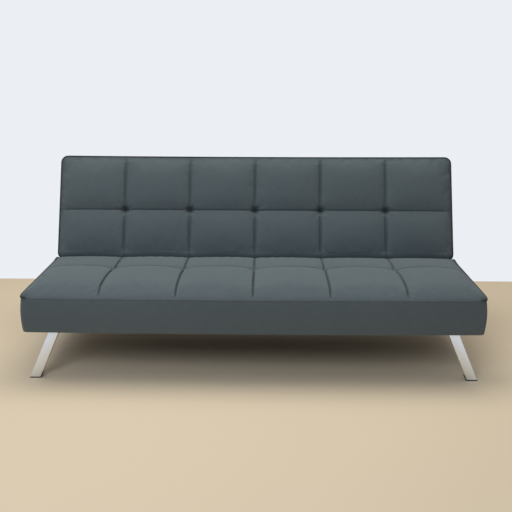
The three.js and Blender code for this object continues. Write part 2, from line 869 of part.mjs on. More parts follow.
// The foot closes the leg's end: a base under it, a plug inside it and a lip up its inner side
function foot(side, end) {
  const legY = end < 0 ? frontLegY : rearLegY;
  const baseWidth = legWidth + footLipThickness + fit;
  const baseMiddle = (-side * (footLipThickness + fit)) / 2;
  const lipMiddle = -side * (legWidth / 2 + fit + footLipThickness / 2);
  const plugWidth = legWidth - 2 * (legWall + fit);
  const plugDepth = legDepth - 2 * (legWall + fit);
  const base = uprightPrism(
    roundedRectangle(baseWidth, legDepth, legCorner, baseMiddle, 0),
    floorZ,
    floorZ + footBase,
  );
  const lip = uprightPrism(
    roundedRectangle(footLipThickness, legDepth, footLipThickness / 2 - fit / 2, lipMiddle, 0),
    floorZ + footBase / 2,
    floorZ + footLipHeight,
  );
  const plug = uprightPrism(
    roundedRectangle(plugWidth, plugDepth, legCorner - legWall, 0, 0),
    floorZ + footBase / 2,
    floorZ + footBase + footPlugHeight,
  );
  const whole = joined([base, lip, plug].map((piece) => splayed(piece, side, end)));
  return whole.translate(side * legStation, legY, 0);
}

function uprightBolt(side, y, headTop, length) {
  const x = side * legStation;
  const head = uprightCylinder(boltHeadRadius, x, y, headTop - boltHeadThickness, headTop, headSides);
  const shank = uprightCylinder(boltRadius, x, y, headTop - boltHeadThickness / 2, headTop + length, boltSides);
  return joined([head, shank]);
}

function crossBolt(side, headOuterX, y, z) {
  const headInnerX = headOuterX - boltHeadThickness;
  const head = crossCylinder(side, boltHeadRadius, headInnerX, headOuterX, y, z, headSides);
  const shankInnerX = headOuterX - boltHeadThickness / 2;
  const shankOuterX = headOuterX + hingeBoltLength;
  const shank = crossCylinder(side, boltRadius, shankInnerX, shankOuterX, y, z, boltSides);
  return joined([head, shank]);
}

// The ratchet hinge
function seatPlateOutline() {
  const outline = new THREE.Shape();
  const low = -Math.PI / 3;
  const high = (3 * Math.PI) / 4;
  outline.moveTo(headRadius * Math.cos(low), headRadius * Math.sin(low));
  outline.absarc(0, 0, headRadius, low, high, false);
  outline.lineTo(-deckSetback, -shoulderDepth);
  outline.lineTo(-fixingPadEnd + fixingPadCorner, -fixingPadTop);
  outline.lineTo(-fixingPadEnd, -fixingPadTop - fixingPadCorner);
  outline.lineTo(-fixingPadEnd, -fixingPadBottom + fixingPadCorner);
  outline.lineTo(-fixingPadEnd + fixingPadCorner, -fixingPadBottom);
  outline.lineTo(-pawlReach, -fixingPadBottom);
  outline.lineTo(headRadius * Math.cos(low), -sectorRadius - coverBossRadius);
  outline.closePath();
  return outline;
}

function hingeSeatPlate(side) {
  const plate = crossPlate(seatPlateOutline(), side, seatPlateInnerX, seatPlateOuterX);
  const pivotBore = crossCylinder(
    side,
    holeRadius(pivotPinRadius, runningClearance, roundSides),
    seatPlateInnerX - overrun,
    seatPlateOuterX + overrun,
    0,
    0,
    roundSides,
  );
  const drilled = cut(plate, [pivotBore, ...hingeBoltBores(side, -1, 'seatDrop')]);
  const studInnerX = coverInnerX - pawlStudReach;
  const studSeatX = (seatPlateInnerX + seatPlateOuterX) / 2;
  const stud = crossCylinder(side, pawlStudRadius, studInnerX, studSeatX, pawlStudY, pawlStudZ, boltSides);
  const studHead = crossCylinder(
    side,
    pawlStudHeadRadius,
    studInnerX - pawlStudHeadThickness,
    studInnerX,
    pawlStudY,
    pawlStudZ,
    boltSides,
  );
  return joined([drilled, stud, studHead]);
}

function coverPlateOutline() {
  const outline = new THREE.Shape();
  const lean = Math.atan2(pawlStudZ, pawlStudY);
  const span = Math.hypot(pawlStudY, pawlStudZ);
  const flare = Math.asin((headRadius - coverBossRadius) / span);
  const headFrom = lean + Math.PI / 2 - flare;
  const headTo = lean - Math.PI / 2 + flare + 2 * Math.PI;
  outline.absarc(0, 0, headRadius, headFrom, headTo, false);
  outline.absarc(pawlStudY, pawlStudZ, coverBossRadius, headTo, headFrom + 2 * Math.PI, false);
  outline.closePath();
  return outline;
}

function hingeCoverPlate(side) {
  const plate = crossPlate(coverPlateOutline(), side, coverInnerX, coverOuterX);
  const bore = (radius, y, z, sides) =>
    crossCylinder(
      side,
      holeRadius(radius, runningClearance, sides),
      coverInnerX - overrun,
      coverOuterX + overrun,
      y,
      z,
      sides,
    );
  return cut(plate, [
    bore(pivotPinRadius, 0, 0, roundSides),
    bore(pawlStudRadius, pawlStudY, pawlStudZ, boltSides),
  ]);
}

// The toothed sector reaches around the side of the hinge line that faces away from the back
function ratchetOutline() {
  const outline = new THREE.Shape();
  outline.moveTo(headRadius * Math.cos(sectorEnd), headRadius * Math.sin(sectorEnd));
  outline.lineTo(sectorRadius * Math.cos(sectorEnd), sectorRadius * Math.sin(sectorEnd));
  outline.absarc(0, 0, sectorRadius, sectorEnd, sectorStart, true);
  outline.lineTo(headRadius * Math.cos(sectorStart), headRadius * Math.sin(sectorStart));
  outline.absarc(0, 0, headRadius, sectorStart, Math.PI / 4, true);
  outline.lineTo(deckSetback, -shoulderDepth);
  outline.lineTo(fixingPadStart + backPlateLap, -shoulderDepth);
  outline.lineTo(fixingPadStart + backPlateLap, -backPadBottom + fixingPadCorner);
  outline.lineTo(fixingPadStart, -backPadBottom + fixingPadCorner);
  outline.closePath();
  return outline;
}

// Notches stand where the pawl's tooth meets the sector with the back upright, half down and flat
function ratchetNotches(side) {
  const notch = new THREE.Shape();
  const root = -sectorRadius + toothDepth;
  notch.moveTo(-toothGapWidth / 2, root);
  notch.lineTo(-toothGapWidth / 2, -sectorRadius - overrun);
  notch.lineTo(toothGapWidth / 2, -sectorRadius - overrun);
  notch.lineTo(toothGapWidth / 2, root);
  notch.closePath();
  return [0, lounge, recline].map((lowered) => {
    const cutter = crossPlate(notch, side, ratchetInnerX - overrun, ratchetOuterX + overrun);
    return cutter.rotateX(lowered - uprightAngle);
  });
}

function backFixingPad(side) {
  const outline = new THREE.Shape();
  outline.moveTo(fixingPadStart, -backPadTop);
  outline.lineTo(fixingPadStart, -backPadBottom);
  outline.lineTo(fixingPadEnd - fixingPadCorner, -backPadBottom);
  outline.lineTo(fixingPadEnd, -backPadBottom + fixingPadCorner);
  outline.lineTo(fixingPadEnd, -backPadTop - fixingPadCorner);
  outline.lineTo(fixingPadEnd - fixingPadCorner, -backPadTop);
  outline.closePath();
  return crossPlate(outline, side, seatPlateOuterX - ratchetThickness, seatPlateOuterX);
}

function hingeBackPlate(side) {
  const sector = crossPlate(ratchetOutline(), side, ratchetInnerX, ratchetOuterX);
  const pivotBore = crossCylinder(
    side,
    holeRadius(pivotPinRadius, runningClearance, roundSides),
    ratchetInnerX - overrun,
    ratchetOuterX + overrun,
    0,
    0,
    roundSides,
  );
  const toothed = cut(sector, [pivotBore, ...ratchetNotches(side)]);
  return cut(joined([toothed, backFixingPad(side)]), hingeBoltBores(side, 1, 'backDrop'));
}

function pivotPin(side) {
  const headOuterX = coverInnerX - fit;
  const headInnerX = headOuterX - pivotHeadThickness;
  const head = crossCylinder(side, pivotHeadRadius, headInnerX, headOuterX, 0, 0, roundSides);
  const shankInnerX = headOuterX - pivotHeadThickness / 2;
  const shank = crossCylinder(side, pivotPinRadius, shankInnerX, seatPlateOuterX, 0, 0, roundSides);
  return joined([head, shank]);
}

// The pawl, drawn lifted clear of the ratchet, turns about its stud
function pawlOutline() {
  const outline = new THREE.Shape();
  const toothTip = -sectorRadius - sectorClearance;
  const armTop = toothTip - pawlToothHeight;
  const armBottom = armTop - pawlArmDepth;
  const toothFront = -toothWidth / 2;
  const toothRear = toothWidth / 2;
  const turnOff = Math.PI / 3;
  outline.moveTo(toothRear, toothTip);
  outline.lineTo(toothFront, toothTip);
  outline.lineTo(toothFront, armTop);
  outline.lineTo(
    pawlStudY + pawlBossRadius * Math.cos(turnOff),
    pawlStudZ + pawlBossRadius * Math.sin(turnOff) - pawlDrop,
  );
  outline.absarc(pawlStudY, pawlStudZ, pawlBossRadius, turnOff, 2 * Math.PI - turnOff, false);
  outline.lineTo(toothFront, armBottom);
  outline.lineTo(toothRear, armTop);
  outline.closePath();
  return outline;
}

function pawl(side) {
  const plate = crossPlate(pawlOutline(), side, ratchetInnerX, ratchetOuterX);
  const bore = crossCylinder(
    side,
    holeRadius(pawlStudRadius, runningClearance, boltSides),
    ratchetInnerX - overrun,
    ratchetOuterX + overrun,
    pawlStudY,
    pawlStudZ,
    boltSides,
  );
  return cut(plate, [bore]);
}

// A torsion spring round the stud: one tail lies under the pawl, the other against the seat's rear rail
function springPoints(side) {
  const outermost = coverInnerX - fit - springWireRadius;
  const points = [];
  const tailDown = springRadius + pawlBossRadius;
  points.push(new THREE.Vector3(side * (ratchetInnerX + ratchetThickness / 2), pawlStudY + springTailReach, -tailDown));
  points.push(new THREE.Vector3(side * outermost, pawlStudY + springTailReach, -tailDown));
  const start = -Math.PI / 2;
  for (let step = 0; step <= springTurns * coilSteps; step += 1) {
    const angle = start - (2 * Math.PI * step) / coilSteps;
    points.push(
      new THREE.Vector3(
        side * (outermost - (springPitch * step) / coilSteps),
        pawlStudY + springRadius * Math.cos(angle),
        springRadius * Math.sin(angle),
      ),
    );
  }
  const last = points[points.length - 1];
  points.push(new THREE.Vector3(last.x, -hingeRailSetback + fit, last.z));
  return points.map((point, index) => {
    const lowered = index < 2 ? pawlStudZ - sectorClearance : pawlStudZ;
    return point.setZ(point.z + lowered);
  });
}

function pawlSpring(side) {
  return tubeAlong(springPoints(side), springWireRadius, wireSides);
}

// The least gap between turns of the spring, wire to wire, measured between points a turn apart or more
function springSelfGap() {
  const points = springPoints(1);
  let least = Infinity;
  for (let i = 0; i < points.length; i += 1) {
    for (let j = i + coilSteps - 1; j < points.length; j += 1) {
      least = Math.min(least, points[i].distanceTo(points[j]) - 2 * springWireRadius);
    }
  }
  return least;
}
console.log(`pawl spring: least gap to itself ${springSelfGap().toFixed(2)} mm`);

// Assembly
const sofa = new THREE.Group();
const hingeLine = new THREE.Group();
hingeLine.position.set(0, pivotY, pivotHeight);
const backFrame = new THREE.Group();
backFrame.rotation.x = uprightAngle;
hingeLine.add(backFrame);
sofa.add(hingeLine);

function add(parent, name, geometry, material) {
  const mesh = new THREE.Mesh(geometry, material);
  mesh.name = name;
  parent.add(mesh);
  return mesh;
}

function addSeat() {
  add(hingeLine, 'seat_cushion', seatCushion(), fabric()).rotation.z = Math.PI;
  add(hingeLine, 'seat_piping', pipingGeometry(seatPad), cordFabric()).rotation.z = Math.PI;
  add(hingeLine, 'seat_front_rail', seatFrontRail(), timber());
  add(hingeLine, 'seat_rear_rail', seatRearRail(), timber());
  add(hingeLine, 'seat_deck', seatDeck(), board());
  add(hingeLine, 'seat_dust_cover', seatDustCover(), liningCloth());
}

function addBack() {
  add(backFrame, 'back_cushion', backCushion(), fabric());
  add(backFrame, 'back_piping', pipingGeometry(backPad), cordFabric());
  add(backFrame, 'back_top_rail', backTopRail(), timber());
  add(backFrame, 'back_bottom_rail', backBottomRail(), timber());
  add(backFrame, 'back_deck', backDeck(), board());
  add(backFrame, 'back_rear_cover', backRearCover(), liningCloth());
}

function addFrameSide(side, hand) {
  add(hingeLine, `seat_side_rail_${hand}`, seatSideRail(side), timber());
  add(hingeLine, `seat_leg_rail_${hand}`, seatLegRail(side), timber());
  add(backFrame, `back_side_rail_${hand}`, backSideRail(side), timber());
  add(backFrame, `back_cross_rail_${hand}`, backCrossRail(side), timber());
}

function addLegs(side, hand) {
  add(hingeLine, `leg_support_bar_${hand}`, legSupportBar(side), blackSteel());
  const barBoltHeadTop = barBottom - fit;
  const barBolt = uprightBolt(side, barBoltY, barBoltHeadTop, railBoltTop - barBoltHeadTop);
  add(hingeLine, `bar_bolt_${hand}`, barBolt, zincSteel());
  for (const end of [-1, 1]) {
    const place = end < 0 ? 'front' : 'rear';
    add(hingeLine, `${place}_leg_${hand}`, leg(side, end), chrome());
    add(hingeLine, `${place}_foot_${hand}`, foot(side, end), blackPlastic());
    const length = end < 0 ? frontLegBoltLength : rearLegBoltLength;
    legBoltYs(end).forEach((y, index) => {
      const bolt = uprightBolt(side, y, legPlateBottom - fit, length);
      add(hingeLine, `${place}_leg_bolt_${hand}_${index + 1}`, bolt, zincSteel());
    });
  }
}

function addHinge(side, hand) {
  add(hingeLine, `hinge_seat_plate_${hand}`, hingeSeatPlate(side), zincSteel());
  add(hingeLine, `hinge_cover_plate_${hand}`, hingeCoverPlate(side), zincSteel());
  add(hingeLine, `pivot_pin_${hand}`, pivotPin(side), zincSteel());
  add(hingeLine, `pawl_${hand}`, pawl(side), zincSteel());
  add(hingeLine, `pawl_spring_${hand}`, pawlSpring(side), zincSteel());
  add(backFrame, `hinge_back_plate_${hand}`, hingeBackPlate(side), zincSteel());
  hingeBoltSpots.forEach((spot, index) => {
    const seatBolt = crossBolt(side, seatPlateInnerX - fit, -spot.along, -spot.seatDrop);
    const backBoltX = seatPlateOuterX - ratchetThickness - fit;
    const backBolt = crossBolt(side, backBoltX, spot.along, -spot.backDrop);
    add(hingeLine, `hinge_seat_bolt_${hand}_${index + 1}`, seatBolt, zincSteel());
    add(backFrame, `hinge_back_bolt_${hand}_${index + 1}`, backBolt, zincSteel());
  });
}

addSeat();
addBack();
for (const side of [-1, 1]) {
  const hand = side < 0 ? 'left' : 'right';
  addFrameSide(side, hand);
  addLegs(side, hand);
  addHinge(side, hand);
}

export default sofa;
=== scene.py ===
"""Click clack sofa bed: soft goods, finishes, floor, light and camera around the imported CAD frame.
Lengths are metres. Each pad is drawn lying flat beside the hinge line: x across, y away from the
hinge, z toward the sitter. Its object's matrix then stands it in place."""
import json
import math

import bpy
import numpy as np
from mathutils import Matrix, Vector, noise


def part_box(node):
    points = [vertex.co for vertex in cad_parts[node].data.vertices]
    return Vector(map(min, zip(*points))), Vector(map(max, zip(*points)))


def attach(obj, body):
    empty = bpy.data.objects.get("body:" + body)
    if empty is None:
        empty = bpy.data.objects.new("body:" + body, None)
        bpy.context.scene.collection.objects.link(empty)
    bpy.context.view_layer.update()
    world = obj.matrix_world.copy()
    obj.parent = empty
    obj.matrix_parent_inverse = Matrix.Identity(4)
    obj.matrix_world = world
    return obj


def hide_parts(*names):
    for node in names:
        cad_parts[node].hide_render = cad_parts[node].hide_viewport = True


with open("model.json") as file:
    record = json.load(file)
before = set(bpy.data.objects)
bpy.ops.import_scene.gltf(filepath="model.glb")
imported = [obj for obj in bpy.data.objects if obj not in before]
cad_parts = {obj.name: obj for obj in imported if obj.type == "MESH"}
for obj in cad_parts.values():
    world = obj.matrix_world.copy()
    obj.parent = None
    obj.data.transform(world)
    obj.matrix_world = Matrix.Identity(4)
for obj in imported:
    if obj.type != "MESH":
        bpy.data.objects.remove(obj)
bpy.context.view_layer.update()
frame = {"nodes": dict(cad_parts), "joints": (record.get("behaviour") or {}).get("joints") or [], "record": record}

# Camera and photograph
photo_size = 512
focal_pixels = 764
sensor_width = 36
camera_place = Vector((0.0446, -3.2319, 1.2764))
camera_pitch = 0.2635
camera_roll = 0.0027
camera_turn = 0.0118

# Floor, background and light
floor_front = -6.0
floor_rear = 0.97
floor_half_width = 6.0
floor_color = (0.87, 0.795, 0.70)
floor_gloss = 0.0
floor_rough = 0.8
background_color = (0.835, 0.865, 0.905)
sky_color = (0.94, 0.98, 0.99)
sky_strength = 0.7
sky_low, sky_high = 0.55, 1.0
side_strength = 0.55
side_start, side_end = 0.55, 0.95
horizon_fade = 0.1
key_size = (3.6, 1.8)
key_place = Vector((-0.15, 0.35, 3.1))
key_target = Vector((0, -0.1, 0.3))
key_power = 63
key_color = (1.0, 0.99, 0.88)
fill_size = (3.0, 1.8)
fill_place = Vector((-1.5, -3.8, 2.9))
fill_target = Vector((0, 0, 0.4))
fill_power = 79
fill_color = (0.83, 0.925, 1.0)

# The hinge line and the two pads' frames
hinge = next(joint for joint in frame["joints"] if joint["name"] == "back_recline")
pivot = Vector(hinge["pos_m"])
upright = math.radians(hinge["range_deg"][1])
seat_frame = Matrix.Translation(pivot) @ Matrix.Rotation(math.pi, 4, "Z")
back_frame = Matrix.Translation(pivot) @ Matrix.Rotation(upright, 4, "X")
frames = {"seat": seat_frame, "back": back_frame}

# Padding, as the CAD source draws it
half_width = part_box("seat_cushion")[1].x
pivot_setback = 0.012
pivot_depth = 0.040
pad_columns = 6
side_swell = 0.45
column_power = 0.6
row_power = 0.8
tuft_depth = 0.006
tuft_radius = 0.032
welt_half_height = 0.0036
welt_groove = 0.0038
bottom_round = 0.004
bulge_start, bulge_run = 0.1, 0.75
cord_radius = {"seat": 0.0048, "back": 0.0042}
cord_stand_off = {"seat": 0.0056, "back": 0.0036}
front_cord_sink = 0.0088
front_sink_run = 0.012
corner_cord_sink = 0.007
corner_sink_run = 0.060
front_groove_share = 0.35
cord_sides = 12
cord_step = 0.005
cord_wobble_share = 0.05
cord_wobble_rate = 40
tuck_steps = ((0.006, 0.001, -0.006), (0.014, 0.005, -0.014))
crisp_angle = math.radians(60)

# The hollow for the timber frame, and the notches around the hinges
side_skirt = 0.020
end_skirt = 0.022
hinge_skirt = 0.020
cutter_overrun = 0.01
notch_radius = 0.030
head_radius = 0.024
deck_setback = 0.062
notch_fit = 0.0003

# Sewn creases: a narrow fold along each seam, and a deep knot where two seams cross
start_drop = 0.004
crevice_depth = 0.009
column_crease_width = {"seat": 0.0036, "back": 0.0060}
row_crease_width = {"seat": 0.0050, "back": 0.0042}
row_crease_share = {"seat": 1.0, "back": 0.2}
crease_end = 0.008
crease_end_run = 0.012
row_end_run = 0.008
knot_depth = {"seat": 0.005, "back": 0.012}
knot_radius = 0.013
# Painted shade at each knot, drawn a little beyond the crossing, where the dimple's upper wall lies in shade
knot_shade_shift = 0.006
knot_shade_reach = 1.3
knot_shade_share = {"seat": 0.6, "back": 1.0}
# Painted shade in a band of cloth just above the cord, where the welt's groove lies in shade
welt_shade = 0.8
welt_shade_reach = 0.010

# Small pulls in the cloth: puckers along the seams, pleats around the crossings, uneven faces
pucker_reach, pucker_size, pucker_wave = 0.013, 0.0007, 0.021
pucker_start, pucker_step = 0.003, 1.7
pucker_drift, pucker_drift_rate = 2.3, 17
pleat_reach, pleat_size, pleat_start = 0.045, 0.0014, 0.006
pleat_count, pleat_step, pleat_drift, pleat_drift_count = 7, 2.1, 0.9, 3
slow_size, slow_rate = 0.0016, 5
fine_size, fine_rate = 0.0009, 16
facing_low, facing_run = 0.2, 0.6
below_welt, above_base = 0.008, 0.01

# Stitches in the creases
stitch_length = 0.0042
stitch_pitch = 0.0055
stitch_radius = 0.00045
stitch_sides = 6
stitch_marks = np.array([0, 0.15, 0.5, 0.85, 1.0])
stitch_lifts = stitch_radius * np.array([-0.6, 0.3, 0.8, 0.3, -0.6])
shortest_seam = 4
stitched_roll_share = 0.6
seam_reach = 0.0006

# Covers over the two frames: thickness, hem, sag between the rails, and the staples
cover_rail = {"seat": "seat_leg_rail_right", "back": "back_cross_rail_right"}
cover_thickness = 0.0010
bar_rest = 0.024
cover_step = 0.012
hem_width = 0.014
hem_thickness = 0.0005
hem_step = 0.001
cover_sag = {"seat": 0.0035, "back": 0.0020}
sag_power = 0.7
cover_pucker = 0.0006
cover_pucker_reach = 0.02
cover_unevenness = 0.0008
cover_rate_x, cover_rate_y = 4, 6
staple_pitch = 0.055
staple_inset = 0.007
staple_crown = 0.010
staple_wire = 0.0011
staple_depth = 0.003
staple_round = 0.0008
staple_stand_share = 0.35
staple_sides = 6
staple_turn, staple_turn_rate = 0.25, 31

# Grid of the padding: distances of the grid lines from a seam, and the counts of rings down an edge
near_seam = (0.0012, 0.003, 0.0055, 0.0095, 0.0155, 0.024)
grid_step = 0.0155
roll_rings = 6
roll_round_share = 0.5
groove_rings = 6
side_rings = 9
hinge_share = 0.34
round_rings = 3

# Cloth simulation: the furthest that a point may move, and Blender's own settings
cloth_frames = 20
cloth_cap = 0.010
cloth_settings = {
    "quality": 5,
    "mass": 0.3,
    "tension_stiffness": 15,
    "compression_stiffness": 15,
    "shear_stiffness": 5,
    "bending_stiffness": 0.5,
    "use_pressure": True,
    "uniform_pressure_force": 4.0,
    "shrink_min": -0.012,
}

# Finishes: ranges of values, rates per metre, tones of a colour, and shares
whole, middle_range = (0, 1), (0.3, 0.7)
sideways_limit, level_limit = 0.72, 0.70
cloth_sheen = {"Sheen_Weight": 0.12, "Sheen_Roughness": 0.45, "Specular_IOR_Level": 0.25}
thread_width = 0.0010
thread_dip = (0.4, 1)
streak_long, streak_fine, streak_range = 22, 900, (0.25, 0.75)
# The second share gives painted shade to the low parts between the threads
streak_share, thread_shade_share = 0.62, 0.38
rub_range, rub_most, rub_tone = (0.5, 0.56), (0, 0.2), 1.35
# Painted shade: how far the cloth's colour goes toward a dark tone in the creases, at the knots and beside the
# cord
crease_shade_share, crease_shade_tone = 0.75, 0.5
cloud_most, cloud_tone, cloud_rough = (0, 0.12), 0.75, (-0.03, 0.03)
cloth_rough, fibre_relief = (0.82, 0.94), 0.5
dot_pitch, dot_range, dot_share, dot_rough = 0.0022, (0.35, 0.6), 0.6, (0.92, 0.6)
hairline_stretch, grain_stretch = 0.04, 0.06
smear_range, smear_most = (0.35, 0.7), (0, 0.5)
dull_range, dull_most, dull_tone, dull_rough = (0.52, 0.6), (0, 0.35), 0.82, 0.15
dust_range, dust_smoother, dust_rougher = (0.35, 0.75), 0.08, 0.1
scuff_range, scuff_most, scuff_tone, scuff_lift = (0.53, 0.62), (0, 0.5), 3, 0.03
ring_share, pore_share, wood_rough = 0.7, 0.3, (0.8, 0.62)

# Edges of the CAD nodes, and the timber pieces whose grain runs along Y
edge_widths = {
    "chrome": 0.0004,
    "zinc_steel": 0.0003,
    "foot_plastic": 0.0005,
    "black_steel": 0.0004,
    "timber": 0.0012,
}
weld_reach = 0.00001
bevel_angle, smooth_angle = math.radians(35), math.radians(32)
along_words = ("side", "leg", "cross")


def local_box(node, pad_frame):
    """Lowest and highest corner of a CAD node in a pad's own frame."""
    to_local = np.array(pad_frame.inverted())
    co = np.array([v.co for v in frame["nodes"][node].data.vertices]).reshape(-1, 3)
    local = co @ to_local[:3, :3].T + to_local[:3, 3]
    return local.min(0), local.max(0)


seat_low, seat_high = local_box("seat_cushion", seat_frame)
back_low, back_high = local_box("back_cushion", back_frame)
seat_bow = 0.010
back_bow = -0.003
pads = {
    "seat": {
        "name": "seat",
        "length": seat_high[1] - seat_bow - pivot_setback,
        "underside": seat_low[2],
        "far_row": 0.346,
        "corner": 0.018,
        "bulge": 0.008,
        "bow": seat_bow,
        "roll": 0.050,
        "welt": pivot_depth - 0.013,
        "far_welt_drop": 0.008,
        "hinge_welt_lift": 0.006,
        "seam_rises": (0.002, 0.004, 0.015),
        "panel_rises": (0.007, 0.019, 0.022),
        "seam_arches": (0.005, 0.014),
        "panel_arches": (0.006, 0.013),
        "foam": 0.052,
        "seed": 3,
    },
    "back": {
        "name": "back",
        "length": back_high[1] - pivot_setback,
        "underside": back_low[2],
        "far_row": 0.2510,
        "corner": 0.028,
        "bulge": 0.005,
        "bow": back_bow,
        "roll": 0.030,
        "welt": pivot_depth - 0.018,
        "far_welt_drop": 0,
        "hinge_welt_lift": 0,
        "seam_rises": (-0.004, -0.008, -0.006),
        "panel_rises": (0.004, 0, 0.002),
        "seam_arches": (0.004, 0.005),
        "panel_arches": (0.013, 0.013),
        "foam": 0.050,
        "seed": 11,
    },
}
for pad in pads.values():
    pad["far"] = pivot_setback + pad["length"]
welt_turn = 0.045
corner_reach = 0.055
hinge_lift_reach = 0.070


# Shapes of the padding
def panel_offsets(run):
    """Grid lines over one panel, close together beside its two seams."""
    middle = run / 2
    count = max(2, round((middle - near_seam[-1]) / grid_step))
    half = [0.0, *near_seam]
    half += [near_seam[-1] + (middle - near_seam[-1]) * k / count for k in range(1, count + 1)]
    return np.array(half + [run - offset for offset in reversed(half[:-1])])


def column_lines(edges):
    """Grid lines across the pad, and how far the panel swells at each: 0 at a seam, 1 in its middle."""
    lines, swells = [], []
    last = len(edges) - 2
    for panel in range(last + 1):
        offsets = panel_offsets(edges[panel + 1] - edges[panel])[1 if panel else 0:]
        share = offsets / (edges[panel + 1] - edges[panel])
        from_middle = np.abs(2 * share - 1)
        outside = ((panel == 0) & (share < 0.5)) | ((panel == last) & (share > 0.5))
        rounded = np.sin((1 - from_middle) * math.pi / 2) ** column_power
        lines.append(edges[panel] + offsets)
        swells.append(np.where(outside, 1 - (1 - side_swell) * from_middle**2, rounded))
    return np.concatenate(lines), np.concatenate(swells)


def row_lines(pad, edges):
    """Grid lines from hinge to far edge, and the rise there of the seams and the panels' middles."""
    lines, seam_rises, panel_rises = [], [], []
    for row in range(len(edges) - 1):
        offsets = panel_offsets(edges[row + 1] - edges[row])[1 if row else 0:]
        share = offsets / (edges[row + 1] - edges[row])
        arch = np.sin(np.clip(share, 0, 1) * math.pi).clip(0, 1) ** row_power
        lines.append(edges[row] + offsets)
        for made, rises, arches, drop in (
            (seam_rises, pad["seam_rises"], pad["seam_arches"], 0),
            (panel_rises, pad["panel_rises"], pad["panel_arches"], start_drop),
        ):
            rise = rises[row] + (rises[row + 1] - rises[row]) * share
            made.append(rise + (arches[row] - drop) * arch)
    return np.concatenate(lines), np.concatenate(seam_rises), np.concatenate(panel_rises)


def pad_grid(pad):
    half = half_width - pad["roll"]
    seams = [(k - pad_columns / 2) * 2 * half_width / pad_columns for k in range(1, pad_columns)]
    far = pad["far"]
    rows = [pivot_setback + pivot_depth, far - pad["far_row"], far - pad["roll"]]
    xs, swell = column_lines([-half, *seams, half])
    ys, seam_rise, panel_rise = row_lines(pad, rows)
    rises = {"swell": swell, "seam_rise": seam_rise, "panel_rise": panel_rise}
    return {"xs": xs, "ys": ys, "seams": seams, "row": rows[1], **rises}


def far_welt_drop(pad, x):
    """How far the welt drops along the far end, where it runs lower than along the sides."""
    share = np.clip((half_width - np.abs(x)) / welt_turn, 0, 1)
    return pad["far_welt_drop"] * share**2 * (3 - 2 * share)


def hinge_welt_lift(pad, y):
    """How far the welt climbs along each side toward the hinge."""
    share = np.clip(1 - (y - pivot_setback - pivot_depth / 2) / hinge_lift_reach, 0, 1)
    return pad["hinge_welt_lift"] * share**2


def plan(pad, x, y, inset, hinge_inset):
    """Moves points of a square-cornered plan onto one with rounded corners and a bowed far end."""
    low = pivot_setback + hinge_inset
    high = pad["far"] - inset
    half, half_run = half_width - inset, (high - low) / 2
    radius = max(pad["corner"] - max(inset, 0), bottom_round)
    middle = (low + high) / 2
    out_x, out_y = np.abs(x), np.abs(y - middle)
    across = np.clip((out_x - (half - radius)) / radius, 0, None)
    along = np.clip((out_y - (half_run - radius)) / radius, 0, None)
    corner = (across > 0) & (along > 0)
    round_x = half - radius + radius * across * np.sqrt(1 - along**2 / 2)
    round_y = half_run - radius + radius * along * np.sqrt(1 - across**2 / 2)
    out_x, out_y = np.where(corner, round_x, out_x), np.where(corner, round_y, out_y)
    out_y = middle + np.sign(y - middle) * out_y
    far_share = (out_y - pivot_setback) / pad["length"]
    bow = pad["bow"] * (1 - (out_x / half_width) ** 2) * far_share**2
    return np.sign(x) * out_x, out_y + bow


def side_bulge(pad, share):
    """How far the pad's side stands out, from 0 below the welt to 1 at the underside."""
    return pad["bulge"] * math.sin(math.pi * (bulge_start + bulge_run * share))


def between(first, second, share):
    return first + (second - first) * share


def edge_rings(pad):
    """Insets and levels down the pad's edge, how far each ring keeps the sitting face's ups and downs
    and follows the welt's, and its turn on the quarter round whose middle is level with the hinge."""
    welt = pad["welt"]
    above, below = welt + welt_half_height, welt - welt_half_height
    hinge_welt = math.asin((welt + pad["hinge_welt_lift"]) / pivot_depth)
    hinge_above = math.asin(min(1, (above + pad["hinge_welt_lift"]) / pivot_depth))
    rings = []
    for k in range(1, roll_rings + 1):
        share = k / roll_rings
        turn = share * math.pi / 2
        hinge_turn = math.pi / 2 + (hinge_above - math.pi / 2) * share
        inset = pad["roll"] * (1 - between(share, math.sin(turn), roll_round_share))
        inset -= side_bulge(pad, 0) * math.sin(turn) ** 4
        keep = between(1 - share, math.cos(turn), roll_round_share)
        rings.append((inset, above, keep, 1, hinge_turn))
    for k in range(1, groove_rings + 1):
        share = k / groove_rings
        level = above + (below - above) * share
        inset = welt_groove * math.sin(math.pi * share) - side_bulge(pad, 0)
        hinge_turn = hinge_welt + (hinge_above - hinge_welt) * (1 - 2 * share)
        rings.append((inset, level, 0, 1, hinge_turn))
    base = pad["underside"] + bottom_round
    start = 2 * hinge_welt - hinge_above
    for k in range(1, side_rings + 1):
        share = k / side_rings
        level = below + (base - below) * share
        turn = start * (1 - share / hinge_share)
        rings.append((-side_bulge(pad, share), level, 0, 1 - share, turn if turn > 0 else None))
    for k in range(1, round_rings + 1):
        turn = k / round_rings * math.pi / 2
        drop = bottom_round * math.sin(turn)
        inset = bottom_round * (1 - math.cos(turn)) - side_bulge(pad, 1)
        rings.append((inset, base - drop, 0, 0, None))
    return rings


def border(columns, rows):
    """Grid places around the edge of the sitting face, starting at the hinge end."""
    loop = [(i, 0) for i in range(columns)]
    loop += [(columns, j) for j in range(rows)]
    loop += [(i, rows) for i in range(columns, 0, -1)]
    return loop + [(0, j) for j in range(rows, 0, -1)]


